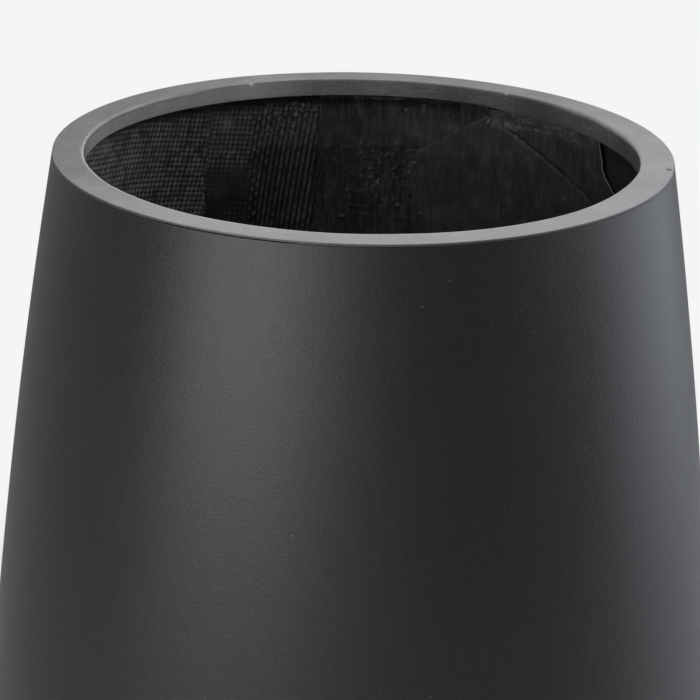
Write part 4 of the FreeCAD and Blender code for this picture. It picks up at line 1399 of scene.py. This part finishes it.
def patch_layer(name, node, bearing, top, bottom, spacing, feather, sides, marks, seed):
    """A drowned layer on top of the strips, from rows of bearings, top and bottom heights. It gets
    thin over a feather below its top edge and over some degrees at its left and right sides. A torn
    lower edge gets thin over a stretch that varies, by as many millimetres as the table says."""
    depths = grid_rows(top.max(), bottom.min(), FINE_DEPTH, spacing)[:, None]
    z = top[None, :] - (top - bottom)[None, :] * depths / depths[-1]
    bearing = bearing[None, :] + 0 * z
    path, depth = way_round(bearing), HEIGHT - z
    inside = smooth_step(bearing - bearing.min(), 0, sides[0])
    inside = np.minimum(inside, smooth_step(bearing.max() - bearing, 0, sides[1]))
    inside = np.minimum(inside, smooth_step(top[None, :] - z, 0, feather))
    torn = marks.get("torn", 0) * np.clip(0.3 + bumps(path, 0 * path, 5 * MM, 1, seed + 4), 0, 1)
    inside = np.minimum(inside, smooth_step(z - bottom[None, :], 0, (1.2 + torn) * MM))
    u, v = thread_places(bearing, z, math.radians(2))
    level = 0.95 + 0.05 * bumps(path, depth, 20 * MM, 20 * MM, seed)
    relief, dust_and_highlight = surface_marks(bearing, depth, marks, seed + 1)
    relief = relief + 0.5 * RELIEF * (resin_over(plain_weave(u, v), level) - 0.9)
    relief = relief + 0.15 * MM * bumps(path, depth, 14 * MM, 20 * MM, seed + 2)
    uneven = 0.85 + 0.15 * bumps(path, depth, 3.5 * MM, 30 * MM, seed + 3)
    thick = CLOTH * (0.15 + 0.95 * inside * uneven) + inside * relief
    front = WALL + CLOTH + np.maximum(thick, THINNEST_PATCH)
    back = WALL + CLOTH + 0 * bearing
    # under the lip the layer is painted in the lip's shade
    layer_piece(name, bearing, z, front, back, dust_and_highlight, painted_lip_shade(depth, marks), 0 * bearing, 0, node)


print(f"a layer on top is {(WALL + CLOTH) / MM:.0f} mm inside the outer face")

# %% Patch and band


def pointed_patch():
    """The patch, with a column of the grid exactly at its point."""
    (left, left_z), (point, point_z), (right, right_z) = PATCH_CORNERS
    before = left + (point - left) * grid_columns(left, point, PATCH_SPACING)
    after = point + (right - point) * grid_columns(point, right, PATCH_SPACING)
    bearing = np.concatenate([before, after[1:]])
    top = np.interp(bearing, (left, point, right), (left_z, point_z, right_z))
    bottom = np.full(bearing.shape, PATCH_BOTTOM_Z)
    patch_layer("pointed_cloth_patch", "pointed_patch", bearing, top, bottom, PATCH_SPACING,
                4 * MM, (0.7, 0.7), PATCH_MARKS, 105)


def rim_band():
    """The band under the rim. Its lower edge was torn, and is not quite level."""
    bearing = BAND_BEARINGS[0] + np.ptp(BAND_BEARINGS) * grid_columns(*BAND_BEARINGS, BAND_SPACING)
    top = np.full(bearing.shape, CLOTH_TOP_Z)
    path = way_round(bearing)
    bottom = BAND_BOTTOM_Z - 1.3 * MM + 0.05 * path
    bottom = bottom + 0.7 * MM * bumps(path, 0 * path, 4 * MM, 1, 117)
    patch_layer("band_under_rim", "rim_band", bearing, top, bottom, BAND_SPACING,
                2 * MM, (0.3, 3.0), BAND_MARKS, 115)


pointed_patch()
rim_band()

# %% [markdown]
# ## Plug and pads
# A moulded rubber stopper closes the drain hole, and four rubber pads keep the foot off the ground.
# Both are turned about their own axis. Moulded rubber has no sharp corner, so every corner of the
# section is rounded.

# %% Rounded sections about their own axis


def rounded_section(corners, radius, count=6):
    """A section with each inner corner rounded: the curve a (1-t)^2 + 2 b t (1-t) + c t^2 between
    the points a and c at the radius's distance before and after the corner b."""
    t = np.linspace(0, 1, count)[:, None]
    parts = [corners[:1]]
    for before, corner, after in zip(corners, corners[1:], corners[2:]):
        a = corner + (before - corner) * min(0.45, radius / math.dist(before, corner))
        c = corner + (after - corner) * min(0.45, radius / math.dist(after, corner))
        parts.append(a * (1 - t) ** 2 + 2 * corner * t * (1 - t) + c * t ** 2)
    return np.concatenate(parts + [corners[-1:]])


def turned_about(name, section, centre, columns):
    """A section from axis to axis turned about a vertical axis through centre. Its two ends on the
    axis become poles, each closed by a fan of triangles."""
    bearings = np.arange(columns) * 360 / columns
    body = around(section[1:-1, :1], bearings[None, :], section[1:-1, 1:])
    rows = len(section) - 2
    poles = np.array([[0, 0, section[0, 1]], [0, 0, section[-1, 1]]])
    points = np.concatenate([body.reshape(-1, 3), poles]) + np.array([centre[0], centre[1], 0])
    quads = tyre_faces(rows, columns)[: (rows - 1) * columns]
    here = np.arange(columns)
    after = (here + 1) % columns
    first, last = rows * columns, rows * columns + 1
    end = (rows - 1) * columns
    fans = np.concatenate([
        np.stack([np.full(columns, first), after, here], -1),
        np.stack([np.full(columns, last), end + here, end + after], -1),
    ])
    return new_piece(name, points, quads, fans)


TRIAL = rounded_section(np.array([(0.0, 0), (1, 0), (1, 1), (0, 1)]), 0.2)
print("a square's section with rounded corners has", len(TRIAL), "points")

# %% Plug and pads
PLUG_LOW, PLUG_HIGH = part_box("drain_plug")
FLANGE_Z = PLUG_LOW.z + 14 * MM
PLUG_ROUND = 1.2 * MM
PAD_ROUND = 0.7 * MM
PLUG_COLUMNS = 96
PAD_COLUMNS = 64


def drain_plug():
    """Stopper: tapered stem with a soft tip, flange on the floor and a waisted grip."""
    hole_r = DRAIN_RADIUS - 0.3 * MM
    flange_r = (PLUG_HIGH.x - PLUG_LOW.x) / 2
    grip_top, flange_top = PLUG_HIGH.z, FLANGE_Z + 3 * MM
    middle = (grip_top + flange_top) / 2
    corners = np.array([
        (0, PLUG_LOW.z), (hole_r - 1.3 * MM, PLUG_LOW.z), (hole_r - 0.1 * MM, FLANGE_Z),
        (flange_r, FLANGE_Z), (flange_r - 0.8 * MM, flange_top), (7.2 * MM, flange_top),
        (5.5 * MM, middle), (7.5 * MM, grip_top), (0, grip_top),
    ])
    section = rounded_section(corners, PLUG_ROUND)
    return turned_about("drain_stopper", section, (0, 0), PLUG_COLUMNS)


def foot_pad(node):
    """A pad with a rounded rim, between its CAD pad's corners."""
    low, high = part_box(node)
    radius = (high.x - low.x) / 2
    corners = np.array([(0, low.z), (radius, low.z), (radius, high.z), (0, high.z)])
    section = rounded_section(corners, PAD_ROUND)
    centre = ((low.x + high.x) / 2, (low.y + high.y) / 2)
    return turned_about(node + "_rubber", section, centre, PAD_COLUMNS)


finish_piece(drain_plug(), RUBBER, "plug_rubber", "plug", "drain_plug")
for number in range(1, 5):
    node = f"foot_pad_{number}"
    finish_piece(foot_pad(node), RUBBER, "foot_rubber", "planter", node)

# %% [markdown]
# ## Pieces that keep their CAD shape
# The laminate, the floor and the fillers are plain turned shapes, mostly out of sight, so their
# nodes stay and only get their finish.

# %% CAD nodes
KEPT = {
    "wall_laminate": LAMINATE_RESIN, "floor_laminate": LAMINATE_RESIN, "foot_putty": PUTTY,
    "corner_cove": PUTTY, "floor_tab": LAMINATE_RESIN, "floor_cloth": LAMINATE_RESIN,
}
for node, material in KEPT.items():
    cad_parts[node].material_slots[0].material = material
print("CAD nodes with a finish:", ", ".join(KEPT))

# %% [markdown]
# ## Camera
# The photograph looks down on the mouth by 16 degrees from 1.9 m away, through a long lens. These
# numbers come from fitting the rim's two circles, so they are kept as measured, in rim radii.

# %% Camera
FLOOR_RADIUS = 40.0
FOCAL_PX = 2943.8
FRAME_PX = 700
CAMERA_DISTANCE = 9.5202 * MOUTH_RADIUS
ELEVATION, PAN, TILT, ROLL = 0.2774, 0.0030, -0.0681, -0.0231
SENSOR_MM = 36.0


def turn_about(vector, axis, angle):
    """Rodrigues' formula: v cos a + (k x v) sin a + k (k . v) (1 - cos a)."""
    return (vector * math.cos(angle) + np.cross(axis, vector) * math.sin(angle)
            + axis * (axis @ vector) * (1 - math.cos(angle)))


def photo_camera():
    """The photograph's camera, in front of the planter and above its rim."""
    outward = np.array([0, -math.cos(ELEVATION), math.sin(ELEVATION)])
    ahead, right = -outward, np.array([1.0, 0, 0])
    up = np.cross(right, ahead)
    ahead, right = turn_about(ahead, up, PAN), turn_about(right, up, PAN)
    ahead, up = turn_about(ahead, right, TILT), turn_about(up, right, TILT)
    right, up = turn_about(right, ahead, ROLL), turn_about(up, ahead, ROLL)
    camera = bpy.data.objects.new("camera", bpy.data.cameras.new("camera"))
    bpy.context.scene.collection.objects.link(camera)
    camera.data.lens = FOCAL_PX / FRAME_PX * SENSOR_MM
    camera.data.sensor_width = SENSOR_MM
    camera.data.clip_end = 5 * FLOOR_RADIUS
    place = outward * CAMERA_DISTANCE + np.array([0, 0, HEIGHT])
    matrix = np.eye(4)
    matrix[:3, 0], matrix[:3, 1], matrix[:3, 2], matrix[:3, 3] = right, up, -ahead, place
    camera.matrix_world = Matrix(matrix.tolist())
    bpy.context.scene.camera = camera
    print("camera at", np.round(place, 3))


photo_camera()

# %% [markdown]
# ## Floor, light and background
# The studio is a pale floor under a white sky, and what the camera sees of both is plain white. The
# planter is lit by that sky, bright behind it and on the right and dim in front, as a white backdrop
# gives, and by soft boxes.

# %% Paper of the floor
BACKGROUND = "#f5f5f5"
FLOOR_FADE = (0.7, 1.7)  # metres from the axis over which the floor turns to plain background


def paper_material():
    """Pale paper, which the camera sees as plain background far out, through an emission."""
    material, tree, output = new_material("pale paper")
    place = add_node(tree, "ShaderNodeTexCoord").outputs["Object"]
    away = add_node(tree, "ShaderNodeVectorMath", {0: place}, operation="LENGTH")
    far = add_node(tree, "ShaderNodeMapRange", {
        "Value": away.outputs["Value"], "From Min": FLOOR_FADE[0], "From Max": FLOOR_FADE[1]},
        interpolation_type="SMOOTHSTEP")
    ray = add_node(tree, "ShaderNodeLightPath")
    white = add_node(tree, "ShaderNodeMath", {
        0: far.outputs[0], 1: ray.outputs["Is Camera Ray"]}, operation="MULTIPLY")
    seen = add_node(tree, "ShaderNodeMath", {
        0: ray.outputs["Is Camera Ray"], 1: ray.outputs["Is Glossy Ray"]}, operation="MAXIMUM")
    pale = add_node(tree, "ShaderNodeMix", {
        0: seen.outputs[0], 6: linear("#505050"), 7: linear("#eeeeee")}, data_type="RGBA")
    paper = add_node(tree, "ShaderNodeBsdfDiffuse", {"Color": pale.outputs[2]})
    glow = add_node(tree, "ShaderNodeEmission", {"Color": linear(BACKGROUND), "Strength": 1.0})
    mixed = add_node(tree, "ShaderNodeMixShader", {
        0: white.outputs[0], 1: paper.outputs[0], 2: glow.outputs[0]})
    tree.links.new(mixed.outputs[0], output.inputs[0])
    return material


PALE_PAPER = paper_material()
print(f"{PALE_PAPER.name}: plain background from {FLOOR_FADE[1]} m on")

# %% Floor
FLOOR_COLUMNS = 96


def pale_floor():
    """A disc of pale paper. Near the planter it is lit and takes shadows. Far out it fades to the
    plain white of the background, for what looks at it directly."""
    angles = np.radians(np.arange(FLOOR_COLUMNS) * 360 / FLOOR_COLUMNS)
    radii = np.array([0.2, 0.5, 1, 2, 4, 10, FLOOR_RADIUS])[:, None]
    points = np.stack([radii * np.cos(angles), radii * np.sin(angles), 0 * radii * angles], -1)
    points = np.concatenate([points.reshape(-1, 3), [[0, 0, 0]]])
    quads = tyre_faces(len(radii), FLOOR_COLUMNS)[: (len(radii) - 1) * FLOOR_COLUMNS]
    here = np.arange(FLOOR_COLUMNS)
    fan = np.stack([0 * here + len(points) - 1, (here + 1) % FLOOR_COLUMNS, here], -1)
    mesh = bpy.data.meshes.new("floor")
    mesh.from_pydata(points.tolist(), [], quads.tolist() + fan.tolist())
    floor = bpy.data.objects.new("floor", mesh)
    bpy.context.scene.collection.objects.link(floor)
    mesh.materials.append(PALE_PAPER)
    print(f"floor: a disc {2 * FLOOR_RADIUS:.0f} m across")


pale_floor()

# %% Sky
SKY_BRIGHT = 0.86
SKY_DIM = 0.02
SKY_TOWARDS = (0.3, 0.85, 0.0)
SKY_FADE = (-0.3, 0.7)


def sky():
    """White for the camera. For light and reflections, bright behind the planter, dim in front."""
    world = bpy.data.worlds.new("sky")
    bpy.context.scene.world = world
    world.use_nodes = True
    tree = world.node_tree
    tree.nodes.clear()
    output = add_node(tree, "ShaderNodeOutputWorld")
    direction = add_node(tree, "ShaderNodeTexCoord").outputs["Generated"]
    towards = add_node(tree, "ShaderNodeVectorMath", {
        0: direction, 1: SKY_TOWARDS}, operation="DOT_PRODUCT")
    level = add_node(tree, "ShaderNodeMapRange", {
        "Value": towards.outputs["Value"], "From Min": SKY_FADE[0], "From Max": SKY_FADE[1],
        "To Min": SKY_DIM, "To Max": SKY_BRIGHT}, interpolation_type="SMOOTHSTEP")
    light = add_node(tree, "ShaderNodeBackground", {
        "Color": linear("#f5f9ff"), "Strength": level.outputs[0]})
    seen = add_node(tree, "ShaderNodeBackground", {"Color": linear(BACKGROUND), "Strength": 1.0})
    ray = add_node(tree, "ShaderNodeLightPath")
    mixed = add_node(tree, "ShaderNodeMixShader", {
        0: ray.outputs["Is Camera Ray"], 1: light.outputs[0], 2: seen.outputs[0]})
    tree.links.new(mixed.outputs[0], output.inputs[0])


sky()
print(f"sky: from {SKY_DIM} in front to {SKY_BRIGHT} behind")

# %% [markdown]
# ### Seven soft boxes
# Each box has one job. The front left one draws the broad soft band down the wall, and the front one
# lifts the wall beside it. The front low and the right box shine flat across the mouth, on to the
# inside of the far wall, under the lip. The front high and the high box light the flat top of the
# ring. The back right one draws the pale edge down the right flank. Their strengths were found by
# rendering each one alone and adding the pictures up in linear light.

# %% Soft boxes
# Soft box: place, the point it faces, width, height, strength in watts and colour
SOFT_BOXES = {
    "front_left_box": ((-1.4, -1.72, 0.85), (0, 0, 0.75), 1.7, 0.7, 18, "#f6f9ff"),
    "front_box": ((-0.35, -2.2, 0.85), (0, 0, 0.75), 0.9, 0.7, 2.2, "#f6f9ff"),
    "front_low_box": ((-0.9, -2.0, 1.4), (0, 0, 0.9), 1.2, 0.5, 2.7, "#fffdf8"),
    "front_high_box": ((-1.0, -1.1, 2.5), (0, 0, 0.9), 1.4, 0.8, 8, "#fffdf8"),
    "right_box": ((2.1, -0.5, 1.3), (0, 0, 0.9), 1.2, 0.6, 3.2, "#fffdf8"),
    "high_box": ((0.15, -0.05, 1.6), (0, 0, 0.9), 0.5, 0.5, 1.3, "#fffcf8"),
    "back_right_box": ((2.05, 0.95, 0.9), (0, 0, 0.6), 2.0, 1.6, 13.4, "#eef4ff"),
}


def soft_box(name, place, target, width, height, watts, colour):
    """A rectangular area light that faces a point, unseen by the camera."""
    lamp = bpy.data.lights.new(name, "AREA")
    lamp.shape = "RECTANGLE"
    lamp.size, lamp.size_y, lamp.energy = width, height, watts
    lamp.color = linear(colour)[:3]
    box = bpy.data.objects.new(name, lamp)
    bpy.context.scene.collection.objects.link(box)
    ahead = np.array(target, float) - np.array(place, float)
    ahead /= np.linalg.norm(ahead)
    right = np.cross(ahead, (0, 0, 1))
    right /= np.linalg.norm(right)
    matrix = np.eye(4)
    matrix[:3, 0], matrix[:3, 1], matrix[:3, 2] = right, np.cross(right, ahead), -ahead
    matrix[:3, 3] = place
    box.matrix_world = Matrix(matrix.tolist())
    box.visible_camera = False
    print(f"{name}: {watts} W, {width} by {height} m")


for name, details in SOFT_BOXES.items():
    soft_box(name, *details)
bpy.context.scene.view_settings.view_transform = "Standard"
